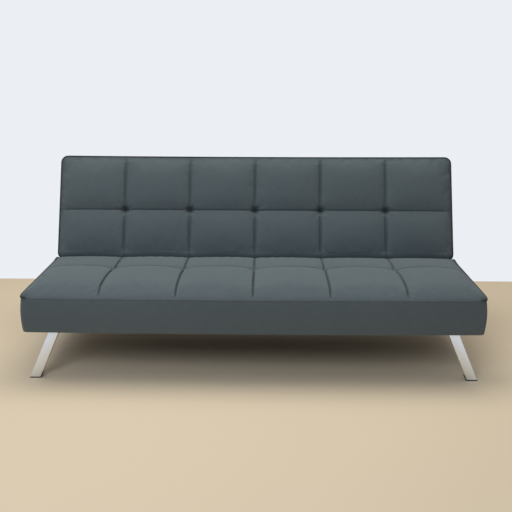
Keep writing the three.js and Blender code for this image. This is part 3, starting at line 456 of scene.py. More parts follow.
def ring_points(pad, grid, ring, loop, heights):
    inset, level, keep, welt_share, hinge_turn = ring
    xs, ys = grid["xs"], grid["ys"]
    columns = np.array([i for i, _ in loop])
    rows = np.array([j for _, j in loop])
    above_round = level > pad["underside"] + bottom_round
    hinge_inset = 0 if above_round else max(inset, 0)
    if hinge_turn is not None:
        hinge_inset = pivot_depth * (1 - math.cos(hinge_turn))
    end_inset = inset
    if pad["far_welt_drop"] and keep == 0 and level > pad["welt"] - welt_half_height:
        end_inset = between(-side_bulge(pad, 0), inset, front_groove_share)
    low, high = pivot_setback + hinge_inset, pad["far"] - end_inset
    x = xs[columns] * (half_width - inset) / (half_width - pad["roll"])
    y = low + (ys[rows] - ys[0]) * (high - low) / (ys[-1] - ys[0])
    px, py = plan(pad, x, y, inset, hinge_inset)
    drop = np.where(rows == len(ys) - 1, far_welt_drop(pad, x), 0) - hinge_welt_lift(pad, y)
    edge = level - drop * welt_share
    z = edge + (heights - edge) * keep
    if hinge_turn is not None:
        fuller = max(0, 4 * hinge_turn / math.pi - 1) ** 2
        hinge_z = pivot_depth * math.sin(hinge_turn) + (heights - pivot_depth) * fuller
        z = np.where(rows == 0, hinge_z, z)
    return np.column_stack([px, py, z])


def face_height(grid, x, y):
    """Level of the sitting face: arched seams, swollen panels and a dent at each crossing."""
    seam = grid["seam_rise"][:, None]
    panel = grid["panel_rise"][:, None]
    z = pivot_depth + seam + (panel - seam) * grid["swell"][None, :]
    for seam_x in grid["seams"]:
        z = z - tuft_depth * np.exp(-((x - seam_x) ** 2 + (y - grid["row"]) ** 2) / tuft_radius**2)
    return z


def corner_hold(pad, points):
    """How firmly the cloth is held near the far corners, where it would fold: 1 at a corner."""
    from_side = half_width - np.abs(points[:, 0])
    from_end = pad["far"] - points[:, 1]
    return np.exp(-(from_side**2 + from_end**2) / corner_reach**2)


def grid_faces(index, upward=True):
    """Quads between the points of a grid, facing up or down."""
    faces = []
    for j in range(index.shape[0] - 1):
        for i in range(index.shape[1] - 1):
            quad = (index[j, i], index[j, i + 1], index[j + 1, i + 1], index[j + 1, i])
            faces.append(quad if upward else (quad[0], *reversed(quad[1:])))
    return faces


def base_points(pad, x, y):
    """The underside's points inside its border."""
    inset = bottom_round - side_bulge(pad, 1)
    run = pad["length"] - bottom_round - inset
    across = x * (half_width - inset) / (half_width - pad["roll"])
    along = pivot_setback + bottom_round + (y - y[0, 0]) * run / (y[-1, 0] - y[0, 0])
    base_x, base_y = plan(pad, across, along, inset, bottom_round)
    base_x, base_y = base_x[1:-1, 1:-1].ravel(), base_y[1:-1, 1:-1].ravel()
    return np.column_stack([base_x, base_y, np.full(base_x.size, pad["underside"])])


def roll_pins(number, ring_seam, hinge_end, hold):
    """Pin weights of one ring of the roll: free above, firm toward the welt and along the seams."""
    fade = 1 - (number + 1) / (roll_rings + 1)
    held = np.maximum(np.where(ring_seam, fade, 0.0), max(0, 2 * (number + 1) / roll_rings - 1))
    return np.where(hinge_end, 1.0, np.maximum(held, hold))


def pad_skin(pad):
    """Points, faces and pin weights of one closed pad, all in quads."""
    grid = pad_grid(pad)
    columns, rows = len(grid["xs"]) - 1, len(grid["ys"]) - 1
    x, y = np.meshgrid(grid["xs"], grid["ys"])
    px, py = plan(pad, x, y, pad["roll"], pivot_depth)
    z = face_height(grid, x, y)
    top = np.column_stack([px.ravel(), py.ravel(), z.ravel()])
    on_seam = np.isin(x, grid["seams"]) | np.isclose(y, grid["row"])
    index = np.arange(len(top)).reshape(rows + 1, columns + 1)
    loop = border(columns, rows)
    ring_seam = np.array([on_seam[j, i] for i, j in loop])
    hinge_end = np.array([j == 0 for _, j in loop])
    heights = np.array([z[j, i] for i, j in loop])
    previous = np.array([index[j, i] for i, j in loop])
    top_pins = np.maximum(np.where(on_seam, 1.0, 0.0).ravel(), corner_hold(pad, top))
    top_pins[previous[hinge_end]] = 1.0
    points, pins, faces = [top], [top_pins], grid_faces(index)
    total = len(top)
    for number, ring in enumerate(edge_rings(pad)):
        made = ring_points(pad, grid, ring, loop, heights)
        current = np.arange(total, total + len(loop))
        total += len(loop)
        faces += zip(previous, current, np.roll(current, -1), np.roll(previous, -1))
        points.append(made)
        hold = corner_hold(pad, made)
        rolled = number < roll_rings
        pins.append(roll_pins(number, ring_seam, hinge_end, hold) if rolled else np.ones(len(loop)))
        previous = current
    base = base_points(pad, x, y)
    inner = np.full((rows + 1, columns + 1), -1)
    inner[1:-1, 1:-1] = total + np.arange(len(base)).reshape(rows - 1, columns - 1)
    for place, (i, j) in zip(previous, loop):
        inner[j, i] = place
    points.append(base)
    pins.append(np.ones(len(base)))
    faces += grid_faces(inner, upward=False)
    return grid, np.vstack(points), faces, np.concatenate(pins)


# Meshes and objects
def new_mesh(name, points, faces):
    mesh = bpy.data.meshes.new(name)
    mesh.from_pydata([tuple(p) for p in points], [], [tuple(map(int, face)) for face in faces])
    mesh.update()
    mesh.shade_smooth()
    return mesh


def linked(name, data):
    made = bpy.data.objects.new(name, data)
    bpy.context.scene.collection.objects.link(made)
    return made


def new_object(name, points, faces, matrix):
    made = linked(name, new_mesh(name, points, faces))
    made.matrix_world = matrix
    return made


def coordinates(mesh):
    flat = np.empty(len(mesh.vertices) * 3, np.float32)
    mesh.vertices.foreach_get("co", flat)
    return flat.reshape(-1, 3).astype(float)


def move_points(mesh, points):
    mesh.vertices.foreach_set("co", points.astype(np.float32).ravel())
    mesh.update()


def applied(made):
    """Replaces an object's mesh by the one that its modifiers give."""
    bpy.context.view_layer.update()
    evaluated = made.evaluated_get(bpy.context.evaluated_depsgraph_get())
    mesh = bpy.data.meshes.new_from_object(evaluated)
    made.modifiers.clear()
    made.data = mesh
    return made


def inflated(made, pins):
    """Cloth simulation: pressure fills the panels between their pinned seams."""
    rest = coordinates(made.data)
    group = made.vertex_groups.new(name="pin")
    for weight in np.unique(pins):
        group.add([int(k) for k in np.flatnonzero(pins == weight)], float(weight), "REPLACE")
    cloth = made.modifiers.new("Cloth", "CLOTH")
    for key, value in cloth_settings.items():
        setattr(cloth.settings, key, value)
    cloth.settings.vertex_group_mass = group.name
    cloth.settings.effector_weights.gravity = 0
    cloth.point_cache.frame_start = 1
    cloth.point_cache.frame_end = cloth_frames
    scene = bpy.context.scene
    for step in range(1, cloth_frames + 1):
        scene.frame_set(step)
    applied(made)
    moved = coordinates(made.data) - rest
    size = np.linalg.norm(moved, axis=1, keepdims=True)
    move_points(made.data, rest + moved / np.sqrt(1 + (size / cloth_cap) ** 2))
    made.vertex_groups.clear()
    scene.frame_set(1)
    return made


def subdivided(made, levels=1):
    modifier = made.modifiers.new("Subdivision", "SUBSURF")
    modifier.levels = modifier.render_levels = levels
    return applied(made)


def crease_share(pad, grid, points):
    """How deep each point lies in a sewn crease: 1 at the thread, 0 where the seam has run out."""
    x, y, z = points.T
    far_share = np.clip((y - pivot_setback - pad["length"] + pad["roll"]) / pad["roll"], 0, 1)
    welt = pad["welt"] - far_welt_drop(pad, x) * far_share
    fade = np.clip((z - welt - crease_end) / crease_end_run, 0, 1)
    fade = fade * np.clip((y - pivot_setback - crease_end) / crease_end_run, 0, 1)
    row_width = row_crease_width[pad["name"]]
    share = row_crease_share[pad["name"]] * np.exp(-(((y - grid["row"]) / row_width) ** 2))
    share = share * np.clip((z - welt) / row_end_run, 0, 1)
    width = column_crease_width[pad["name"]]
    for seam in grid["seams"]:
        share = np.maximum(share, fade * np.exp(-(((x - seam) / width) ** 2)))
    return share


def knot_share(grid, points, radius):
    """1 at each crossing of two seams, falling to 0 around it."""
    x, y, z = points.T
    share = np.zeros(len(points))
    for seam in grid["seams"]:
        share = np.maximum(share, np.exp(-((x - seam) ** 2 + (y - grid["row"]) ** 2) / radius**2))
    return share * (z > 0)


def seam_puckers(x, y, grid, seed):
    shift = np.zeros(len(x))
    for number, seam in enumerate([*grid["seams"], None]):
        on_row = seam is None
        away, along = (np.abs(y - grid["row"]), x) if on_row else (np.abs(x - seam), y)
        phase = pucker_step * number + seed
        drift = pucker_drift * np.sin(along * pucker_drift_rate + phase)
        beat = np.sin(2 * math.pi * along / pucker_wave + phase + drift)
        shift += pucker_size * beat * np.exp(-away / pucker_reach) * (1 - np.exp(-away / pucker_start))
    return shift


def knot_pleats(x, y, grid, seed):
    shift = np.zeros(len(x))
    for number, seam in enumerate(grid["seams"]):
        dx, dy = x - seam, y - grid["row"]
        away, turn = np.hypot(dx, dy), np.arctan2(dy, dx)
        drift = pleat_drift * np.sin(pleat_drift_count * turn + number + seed)
        spokes = np.cos(pleat_count * turn + pleat_step * number + drift)
        fade = np.exp(-((away / pleat_reach) ** 2)) * away / (away + pleat_start)
        shift += pleat_size * spokes * fade
    return shift


def uneven(points, rates, seed):
    """Smooth noise at each point, at a rate along each axis; the seed stands in for z or adds to it."""
    scaled = points * rates + (0, 0, seed)
    return np.array([noise.noise(Vector(place)) for place in scaled])


def fold_detail(made, pad, grid):
    """Moves the cushion's points into its creases, knots, puckers, pleats and slow unevenness."""
    mesh = made.data
    points = coordinates(mesh)
    normals = np.array([v.normal for v in mesh.vertices])
    x, y, z = points.T
    facing = np.clip((normals[:, 2] - facing_low) / facing_run, 0, 1)
    shift = (seam_puckers(x, y, grid, pad["seed"]) + knot_pleats(x, y, grid, pad["seed"])) * facing
    shift -= crevice_depth * crease_share(pad, grid, points)
    shift -= knot_depth[pad["name"]] * knot_share(grid, points, knot_radius)
    shift += slow_size * uneven(points, (slow_rate, slow_rate, 0), pad["seed"]) * facing
    fine = uneven(points, (fine_rate, fine_rate, fine_rate), pad["seed"])
    below = z < pad["welt"] - pad["far_welt_drop"] - below_welt
    sides = np.clip(1 - np.abs(normals[:, 2]) * 2, 0, 1) * below * (z > pad["underside"] + above_base)
    hinge_side = y < pivot_setback + pivot_depth
    shift = (shift + fine_size * fine * sides) * np.where(hinge_side, 0.0, 1.0)
    move_points(mesh, points + normals * shift[:, None])
    return made


def box_mesh(low, high):
    xs, ys, zs = zip(low, high)
    corners = [(x, y, z) for x in xs for y in ys for z in zs]
    faces = [(0, 1, 3, 2), (4, 6, 7, 5), (0, 4, 5, 1), (2, 3, 7, 6), (0, 2, 6, 4), (1, 5, 7, 3)]
    return corners, faces


def drum_mesh(low_x, high_x, radius, sides=32):
    """A cylinder along X about the hinge line."""
    turns = [2 * math.pi * k / sides for k in range(sides)]
    points = [(x, radius * math.cos(t), radius * math.sin(t)) for x in (low_x, high_x) for t in turns]
    faces = [tuple(reversed(range(sides))), tuple(range(sides, 2 * sides))]
    faces += [(k, (k + 1) % sides, sides + (k + 1) % sides, sides + k) for k in range(sides)]
    return points, faces


def carved(made, cutters):
    """Takes closed cutters, given as points and faces in the object's own frame, out of its mesh."""
    for points, faces in cutters:
        tool = new_object("cutter", points, faces, made.matrix_world)
        tool.data.shade_flat()
        cut = made.modifiers.new("Cut", "BOOLEAN")
        cut.operation = "DIFFERENCE"
        cut.solver = "MANIFOLD"
        cut.object = tool
        applied(made)
        bpy.data.objects.remove(tool)
    return made


def frame_cutters(pad):
    """The hollow for the timber frame and the notches around the two hinges."""
    far = pad["far"] - end_skirt
    side = half_width - side_skirt
    bottom = pad["underside"] - cutter_overrun
    low, high = (-side, pivot_setback + hinge_skirt, bottom), (side, far, pivot_depth - pad["foam"])
    cutters = [box_mesh(low, high)]
    pin_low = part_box("pivot_pin_right")[0].x - notch_fit
    rail_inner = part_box("hinge_seat_plate_right")[1].x + 2 * notch_fit
    for sign in (-1, 1):
        low_x, high_x = sorted((sign * pin_low, sign * rail_inner))
        cutters.append(drum_mesh(low_x, high_x, notch_radius))
        cutters.append(box_mesh((low_x, 0, bottom), (high_x, deck_setback, head_radius)))
    return cutters


def welt_share(pad, points):
    """How close each point lies to the welt, for the band of painted shade beside the cord: 1 beside the cord, 0
    along an end where it lies sunk.
    """
    x, y, z = points.T
    from_side = half_width - np.abs(x)
    from_end = pad["far"] - y
    from_edge = from_side if pad["far_welt_drop"] else np.minimum(from_side, from_end)
    above = z - pad["welt"] - hinge_welt_lift(pad, y)
    return (from_edge < pad["roll"] / 2) * np.exp(-((above / welt_shade_reach) ** 2))


def mark_creases(made, pad, grid):
    """Stores how much painted shade each point gets in the cloth's colour: in the creases, at the knots and in a
    band beside the cord.
    """
    points = coordinates(made.data)
    # The knots' painted shade is moved toward the far edge, onto the dimple's shaded upper wall
    above = points - np.array([0, knot_shade_shift, 0])
    knots = knot_share(grid, above, knot_shade_reach * knot_radius) * knot_shade_share[pad["name"]]
    welts = welt_shade * welt_share(pad, points)
    mark = np.maximum.reduce([crease_share(pad, grid, points), knots, welts])
    attribute = made.data.attributes.new("painted_shade", "FLOAT", "POINT")
    attribute.data.foreach_set("value", mark.astype(np.float32))


def make_cushion(name):
    pad = pads[name]
    grid, points, faces, pins = pad_skin(pad)
    cushion = new_object(f"{name}_cushion_cover", points, faces, frames[name])
    inflated(cushion, pins)
    subdivided(cushion)
    fold_detail(cushion, pad, grid)
    carved(cushion, frame_cutters(pad))
    mark_creases(cushion, pad, grid)
    cushion.data.set_sharp_from_angle(angle=crisp_angle)
    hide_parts(f"{name}_cushion")
    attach(cushion, name)
    return cushion, grid


# Tubes: piping, stitches, staples
def tube_faces(rings, sides):
    faces = []
    for k in range(rings - 1):
        for s in range(sides):
            a, b = k * sides + s, k * sides + (s + 1) % sides
            faces.append((a, a + sides, b + sides, b))
    last = (rings - 1) * sides
    faces.append(tuple(range(sides)))
    faces.append(tuple(last + s for s in reversed(range(sides))))
    return faces


def tube(path, radii, sides, across=None):
    """Points and faces of a closed round bar along a path, level or square to a given direction."""
    path = np.asarray(path, float)
    tangent = np.gradient(path, axis=0)
    tangent /= np.linalg.norm(tangent, axis=1, keepdims=True)
    if across is None:
        across = np.cross(tangent, (0.0, 0.0, 1.0))
        across /= np.maximum(np.linalg.norm(across, axis=1, keepdims=True), 1e-9)
    across = np.broadcast_to(across, path.shape)[:, None, :]
    lift = np.cross(across, tangent[:, None, :])
    turns = np.linspace(0, 2 * math.pi, sides, endpoint=False)[None, :, None]
    radii = np.broadcast_to(radii, len(path))[:, None, None]
    points = path[:, None, :] + radii * (np.cos(turns) * across + np.sin(turns) * lift)
    return points.reshape(-1, 3), tube_faces(len(path), sides)


def joined(shapes):
    """Points and faces of several closed shapes as one."""
    points, faces = [], []
    for shape_points, shape_faces in shapes:
        first = len(points)
        points.extend(shape_points)
        faces.extend(tuple(first + k for k in face) for face in shape_faces)
    return points, faces


def resampled(path, step):
    path = np.asarray(path)
    lengths = np.concatenate([[0], np.cumsum(np.linalg.norm(np.diff(path, axis=0), axis=1))])
    count = max(2, round(lengths[-1] / step))
    at = np.linspace(0, lengths[-1], count + 1)
    return np.column_stack([np.interp(at, lengths, path[:, k]) for k in range(3)])


def tucked_in(path):
    """Leads both ends of a cord inward and down, so that they vanish into the pad."""
    def ending(end):
        inward = -math.copysign(1, end[0])
        return [end + (inward * across, along, down) for across, along, down in tuck_steps]

    return np.vstack([ending(path[0])[::-1], path, ending(path[-1])])


def seam_paths(pad, grid, points):
    """The bottom of each crease, read from the finished cushion's own points."""
    x, y, z = points.T
    far = pad["far"] - pad["roll"] * stitched_roll_share
    side = half_width - pad["roll"] * stitched_roll_share
    on_face = (z > 0) & (np.abs(x) < side) & (y > pivot_setback + pivot_depth / 2) & (y < far)
    paths = []
    for seam in grid["seams"]:
        near = points[on_face & (np.abs(x - seam) < seam_reach)]
        paths.append(near[np.argsort(near[:, 1])])
    near = points[on_face & (np.abs(y - grid["row"]) < seam_reach)]
    paths.append(near[np.argsort(near[:, 0])])
    return paths


def make_stitches(name, cushion, grid):
    """Thread in the creases: one short raised stitch after another."""
    shapes = []
    for path in seam_paths(pads[name], grid, coordinates(cushion.data)):
        if len(path) < shortest_seam:
            continue
        path = resampled(path, stitch_pitch)
        for start, end in zip(path[:-1], path[1:]):
            run = (end - start) / np.linalg.norm(end - start)
            spots = start + run * stitch_length * stitch_marks[:, None]
            spots = spots + np.array([0, 0, 1]) * stitch_lifts[:, None]
            shapes.append(tube(spots, stitch_radius, stitch_sides))
    stitches = new_object(f"{name}_seam_stitches", *joined(shapes), frames[name])
    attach(stitches, name)
    return stitches


# Covers
def cover_height(name, low, high, x, y):
    """How far the cloth sags between the rails and puckers at the staples, and where it is hemmed."""
    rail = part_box(cover_rail[name])
    middle = (rail[0].x + rail[1].x) / 2
    rails = [(side - bar_rest, side + bar_rest) for side in (-middle, middle)]
    rests = [(low[0], low[0]), *rails, (high[0], high[0])]
    across = np.zeros_like(x)
    for (_, start), (end, _) in zip(rests, rests[1:]):
        share = np.clip((x - start) / (end - start), 0, 1)
        across = np.maximum(across, np.sin(share * math.pi))
    along = np.sin(np.clip((y - low[1]) / (high[1] - low[1]), 0, 1) * math.pi)
    inside = np.minimum.reduce([x - low[0], high[0] - x, y - low[1], high[1] - y])
    pulls = np.cos(2 * math.pi * x / staple_pitch) * np.cos(2 * math.pi * y / staple_pitch)
    edge = np.exp(-np.clip(inside - hem_width, 0, None) / cover_pucker_reach) * (inside > hem_width)
    places = np.column_stack([x.ravel(), y.ravel(), np.zeros(x.size)])
    slow = uneven(places, (cover_rate_x, cover_rate_y, 0), len(name)).reshape(x.shape)
    sag = cover_sag[name] * (across * along) ** sag_power
    pucker = cover_pucker * (1 + pulls) / 2 * edge * across
    height = cover_unevenness * slow * across * along - sag - pucker
    return height, hem_thickness * (inside < hem_width)


def cover_lines(start, end):
    """Grid lines across a cover, with a close pair where its hem ends."""
    marks = [0, hem_width - hem_step, hem_width + hem_step]
    count = round((end - start - 2 * marks[-1]) / cover_step)
    middle = np.linspace(start + marks[-1], end - marks[-1], count + 1)
    return np.concatenate([start + np.array(marks[:-1]), middle, end - np.array(marks[-2::-1])])


def make_cover(name, replaced):
    low, high = local_box(replaced, frames[name])
    x, y = np.meshgrid(cover_lines(low[0], high[0]), cover_lines(low[1], high[1]))
    lift, hem = cover_height(name, low, high, x, y)
    level = (low[2] + hem_thickness + lift).ravel()
    outer = np.column_stack([x.ravel(), y.ravel(), level - hem.ravel()])
    inner = np.column_stack([x.ravel(), y.ravel(), level + cover_thickness])
    total = len(outer)
    index = np.arange(total).reshape(x.shape)
    loop = [index[j, i] for i, j in border(x.shape[1] - 1, x.shape[0] - 1)]
    rim = [(a, b, b + total, a + total) for a, b in zip(loop, loop[1:] + loop[:1])]
    faces = grid_faces(index, upward=False) + grid_faces(index + total) + rim
    cover = new_object(f"{name}_frame_cover", np.vstack([outer, inner]), faces, frames[name])
    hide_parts(replaced)
    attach(cover, name)
    staples = make_staples(name, low, high)
    return cover, staples


def staple_spots(low, high):
    """Places and directions of the staples along a cover's four hems."""
    spots = []
    for side in (-1, 1):
        x = side * (high[0] - staple_inset)
        count = int((high[1] - low[1] - staple_pitch) / staple_pitch)
        start = low[1] + staple_pitch / 2
        spots += [((x, start + k * staple_pitch), (0, 1)) for k in range(count + 1)]
    for y in (low[1] + staple_inset, high[1] - staple_inset):
        count = int((high[0] - low[0] - staple_pitch) / staple_pitch)
        start = low[0] + (high[0] - low[0] - count * staple_pitch) / 2
        spots += [((start + k * staple_pitch, y), (1, 0)) for k in range(count + 1)]
    return spots


def make_staples(name, low, high):
    """Wire staples along a cover's hem, each a flat crown with its two legs going into the rail."""
    half, top = staple_crown / 2, low[2] - staple_wire * staple_stand_share
    leg = [(-half, staple_depth), (-half, staple_round), (-half + staple_round, 0)]
    profile = leg + [(-along, down) for along, down in reversed(leg)]
    shapes = []
    for (x, y), (dx, dy) in staple_spots(low, high):
        place = Vector((x * staple_turn_rate, y * staple_turn_rate, len(name)))
        turn = staple_turn * noise.noise(place)
        cos, sin = math.cos(turn), math.sin(turn)
        dx, dy = dx * cos - dy * sin, dx * sin + dy * cos
        path = [(x + along * dx, y + along * dy, top + down) for along, down in profile]
        shapes.append(tube(path, staple_wire / 2, staple_sides, (-dy, dx, 0)))
    staples = new_object(f"{name}_cover_staples", *joined(shapes), frames[name])
    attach(staples, name)
    return staples


def cord_path(pad, grid):
    """The welt's line around the two sides and the far end, sunk along an end whose welt drops."""
    loop = [spot for spot in border(len(grid["xs"]) - 1, len(grid["ys"]) - 1) if spot[1] > 0]
    stand_off = cord_stand_off[pad["name"]]
    ring = (-stand_off, pad["welt"], 0, 1, math.asin(pad["welt"] / pivot_depth))
    path = ring_points(pad, grid, ring, loop, np.full(len(loop), pad["welt"]))
    path = resampled(path, cord_step)
    if pad["far_welt_drop"]:
        from_side = half_width - np.abs(path[:, 0])
        from_end = pad["far"] - path[:, 1]
        sink = front_cord_sink * np.clip(from_side / front_sink_run, 0, 1)
        near_corner = np.clip(1 - from_end / corner_sink_run, 0, 1) ** 2
        path[:, 0] -= np.sign(path[:, 0]) * corner_cord_sink * near_corner
        path[:, 1] -= sink * (from_end < pad["length"] / 2)
    return path


def make_piping(name, grid):
    pad = pads[name]
    path = cord_path(pad, grid)
    wobble = uneven(path, (cord_wobble_rate, cord_wobble_rate, 0), pad["seed"])
    wobble = np.pad(wobble, len(tuck_steps))
    radii = cord_radius[name] * (1 + cord_wobble_share * wobble)
    piping = new_object(f"{name}_welt_cord", *tube(tucked_in(path), radii, cord_sides), frames[name])
    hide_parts(f"{name}_piping")
    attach(piping, name)
    return piping


# Materials
def node(tree, kind, inputs=None, **settings):
    """Adds a shader node. Its inputs are values, or sockets of other nodes to link."""
    made = tree.nodes.new(kind)
    for name, value in settings.items():
        setattr(made, name, value)
    for key, value in (inputs or {}).items():
        if isinstance(value, bpy.types.NodeSocket):
            tree.links.new(value, made.inputs[key])
        else:
            made.inputs[key].default_value = value
    return made


def maths(tree, operation, *values):
    return node(tree, "ShaderNodeMath", dict(enumerate(values)), operation=operation).outputs[0]


def times(tree, first, second):
    return maths(tree, "MULTIPLY", first, second)


def plus(tree, first, second):
    return maths(tree, "ADD", first, second)


def weighted(tree, first, first_share, second, second_share):
    return plus(tree, times(tree, first, first_share), times(tree, second, second_share))


def chosen(tree, share, first, second):
    """A value between two others."""
    return node(tree, "ShaderNodeMix", {0: share, 2: first, 3: second}).outputs[0]


def mixed(tree, share, first, second):
    """A colour between two others."""
    inputs = {"Factor": share, 6: first, 7: second}
    return node(tree, "ShaderNodeMix", inputs, data_type="RGBA").outputs[2]


def grain(tree, place, scale, detail, **more):
    inputs = {"Vector": place, "Scale": scale, "Detail": detail, **more}
    return node(tree, "ShaderNodeTexNoise", inputs).outputs[0]


def spread(tree, value, old, new):
    """Maps a value from one range onto another."""
    keys = ("Value", "From Min", "From Max", "To Min", "To Max")
    return node(tree, "ShaderNodeMapRange", dict(zip(keys, (value, *old, *new)))).outputs["Result"]


def worn_edge(tree, old, new):
    return spread(tree, node(tree, "ShaderNodeNewGeometry").outputs["Pointiness"], old, new)


def stretched(tree, place, scale):
    return node(tree, "ShaderNodeMapping", {"Vector": place, "Scale": scale}).outputs[0]


def linear(red, green, blue):
    """Linear colour of an sRGB colour given from 0 to 255."""
    shares = [c / 255 for c in (red, green, blue)]
    return tuple(c / 12.92 if c <= 0.04045 else ((c + 0.055) / 1.055) ** 2.4 for c in shares) + (1.0,)


def toned(color, tone, lift=0):
    return tuple(min(1, c * tone + lift) for c in color[:3]) + (1,)


def new_material(name, base, **settings):
    material = bpy.data.materials.new(name)
    material.use_nodes = True
    tree = material.node_tree
    shader = tree.nodes["Principled BSDF"]
    for key, value in settings.items():
        shader.inputs[key.replace("_", " ")].default_value = value
    material.diffuse_color = base
    return material, tree, shader


def finish(tree, shader, color, rough, height, strength, depth):
    """Links a colour, a roughness and a relief to a material's shader."""
    tree.links.new(color, shader.inputs["Base Color"])
    tree.links.new(rough, shader.inputs["Roughness"])
    relief = {"Strength": strength, "Distance": depth, "Height": height}
    tree.links.new(node(tree, "ShaderNodeBump", relief).outputs[0], shader.inputs["Normal"])


def face_coordinates(tree):
    """Two coordinates along the nearest of the pad's three faces."""
    place = node(tree, "ShaderNodeTexCoord").outputs
    x, y, z = node(tree, "ShaderNodeSeparateXYZ", {"Vector": place["Object"]}).outputs
    facing = node(tree, "ShaderNodeSeparateXYZ", {"Vector": place["Normal"]}).outputs
    sideways = maths(tree, "GREATER_THAN", maths(tree, "ABSOLUTE", facing[0]), sideways_limit)
    level = maths(tree, "GREATER_THAN", maths(tree, "ABSOLUTE", facing[2]), level_limit)
    return chosen(tree, sideways, x, y), chosen(tree, level, z, y), place["Object"]


def streaks(tree, u, v, rate_u, rate_v):
    inputs = {0: times(tree, u, rate_u), 1: times(tree, v, rate_v)}
    return grain(tree, node(tree, "ShaderNodeCombineXYZ", inputs).outputs[0], 1.0, 2.0)


def woven(name, dark, light, slanted=False):
    """Plain-woven cloth with uneven threads, with painted shade in its creases and between its threads, and paler
    where it is rubbed.
    """
    material, tree, shader = new_material(name, light, Roughness=0.9, **cloth_sheen)
    u, v, place = face_coordinates(tree)
    if slanted:
        u, v = plus(tree, u, v), maths(tree, "SUBTRACT", u, v)
    turns = [times(tree, c, math.pi / thread_width) for c in (u, v)]
    warp, weft = [maths(tree, "ABSOLUTE", maths(tree, "SINE", turn)) for turn in turns]
    cells = [maths(tree, "FLOOR", maths(tree, "DIVIDE", c, thread_width)) for c in (u, v)]
    over = maths(tree, "PINGPONG", plus(tree, *cells), 1.0)
    warp_on_top = times(tree, warp, spread(tree, weft, whole, thread_dip))
    weft_on_top = times(tree, weft, spread(tree, warp, whole, thread_dip))
    height = chosen(tree, over, weft_on_top, warp_on_top)
    warp_tone = streaks(tree, u, v, streak_fine, streak_long)
    weft_tone = streaks(tree, u, v, streak_long, streak_fine)
    tone = spread(tree, chosen(tree, over, weft_tone, warp_tone), streak_range, whole)
    cloud = grain(tree, place, 2.3, 3.0)
    fibre = grain(tree, place, 240.0, 2.0)
    # The colour follows the threads' height as well as their streaks: painted shade between the threads
    color = mixed(tree, weighted(tree, tone, streak_share, height, thread_shade_share), dark, light)
    painted_shade = node(tree, "ShaderNodeAttribute", attribute_name="painted_shade").outputs["Fac"]
    color = mixed(tree, worn_edge(tree, rub_range, rub_most), color, toned(light, rub_tone))
    # Painted shade in the creases, at the knots and beside the cord, read from the cushion's stored mark
    color = mixed(tree, times(tree, painted_shade, crease_shade_share), color, toned(dark, crease_shade_tone))
    color = mixed(tree, spread(tree, cloud, middle_range, cloud_most), color, toned(dark, cloud_tone))
    rough = plus(tree, spread(tree, tone, whole, cloth_rough), spread(tree, cloud, whole, cloud_rough))
    relief = plus(tree, height, times(tree, fibre, fibre_relief))
    finish(tree, shader, color, rough, relief, 0.55, 0.0005)
    return material


def lining_cloth():
    """Pressed fibre cloth with rows of welded dots."""
    dark, light = linear(30, 32, 34), linear(52, 55, 57)
    material, tree, shader = new_material("lining", light, Roughness=0.9, Sheen_Weight=0.1)
    u, v, place = face_coordinates(tree)
    waves = [maths(tree, "SINE", times(tree, c, 2 * math.pi / dot_pitch)) for c in (u, v)]
    dots = spread(tree, times(tree, *waves), dot_range, whole)
    fibre = grain(tree, place, 420.0, 5.0, Distortion=1.5)
    color = mixed(tree, spread(tree, fibre, middle_range, whole), dark, light)
    color = mixed(tree, times(tree, dots, dot_share), color, dark)
    relief = maths(tree, "SUBTRACT", fibre, dots)
    finish(tree, shader, color, spread(tree, dots, whole, dot_rough), relief, 0.5, 0.0004)
    return material


def metal(name, color, polish, scratch, grain_scale):
    """Bare or plated metal with fine hairlines, a slow change in polish and duller rubbed edges."""
    material, tree, shader = new_material(name, color, Metallic=1.0)
    place = node(tree, "ShaderNodeTexCoord").outputs["Object"]
    hairlines = grain(tree, stretched(tree, place, (1, 1, hairline_stretch)), grain_scale, 3.0)
    smears = grain(tree, place, 9.0, 4.0)
    edge = worn_edge(tree, dull_range, dull_most)
    duller = toned(color, dull_tone)
    tone = mixed(tree, spread(tree, smears, smear_range, smear_most), color, duller)
    rough = plus(tree, spread(tree, smears, middle_range, polish), times(tree, edge, dull_rough))
    finish(tree, shader, mixed(tree, edge, tone, duller), rough, hairlines, scratch, 0.0002)
    return material


def coated(name, dark, light, rough, grain_scale, relief):
    """Powder coat or moulded plastic: a fine pebbled skin, scuffed paler at its edges."""
    material, tree, shader = new_material(name, light)
    place = node(tree, "ShaderNodeTexCoord").outputs["Object"]
    inputs = {"Vector": place, "Scale": grain_scale}
    pebbles = node(tree, "ShaderNodeTexVoronoi", inputs, feature="SMOOTH_F1").outputs[0]
    dust = grain(tree, place, 14.0, 5.0)
    tone = mixed(tree, spread(tree, dust, dust_range, whole), dark, light)
    scuffed = toned(light, scuff_tone, scuff_lift)
    color = mixed(tree, worn_edge(tree, scuff_range, scuff_most), tone, scuffed)
    ends = (rough - dust_smoother, rough + dust_rougher)
    finish(tree, shader, color, spread(tree, dust, middle_range, ends), pebbles, relief, 0.0003)
    return material


def planed_wood(name, dark, light, ring_scale, along):
    """Sawn timber with grain along one axis and pale and dark growth rings."""
    material, tree, shader = new_material(name, light)
    place = node(tree, "ShaderNodeTexCoord").outputs["Object"]
    place = stretched(tree, place, [grain_stretch if axis == along else 1 for axis in range(3)])
    inputs = {"Vector": place, "Scale": ring_scale, "Distortion": 9.0}
    inputs |= {"Detail": 3.0, "Detail Scale": 1.5}
    rings = node(tree, "ShaderNodeTexWave", inputs, wave_type="RINGS").outputs["Fac"]
    pores = grain(tree, place, 700.0, 2.0)
    color = mixed(tree, weighted(tree, rings, ring_share, pores, pore_share), dark, light)
    finish(tree, shader, color, spread(tree, rings, whole, wood_rough), pores, 0.4, 0.0004)
    return material


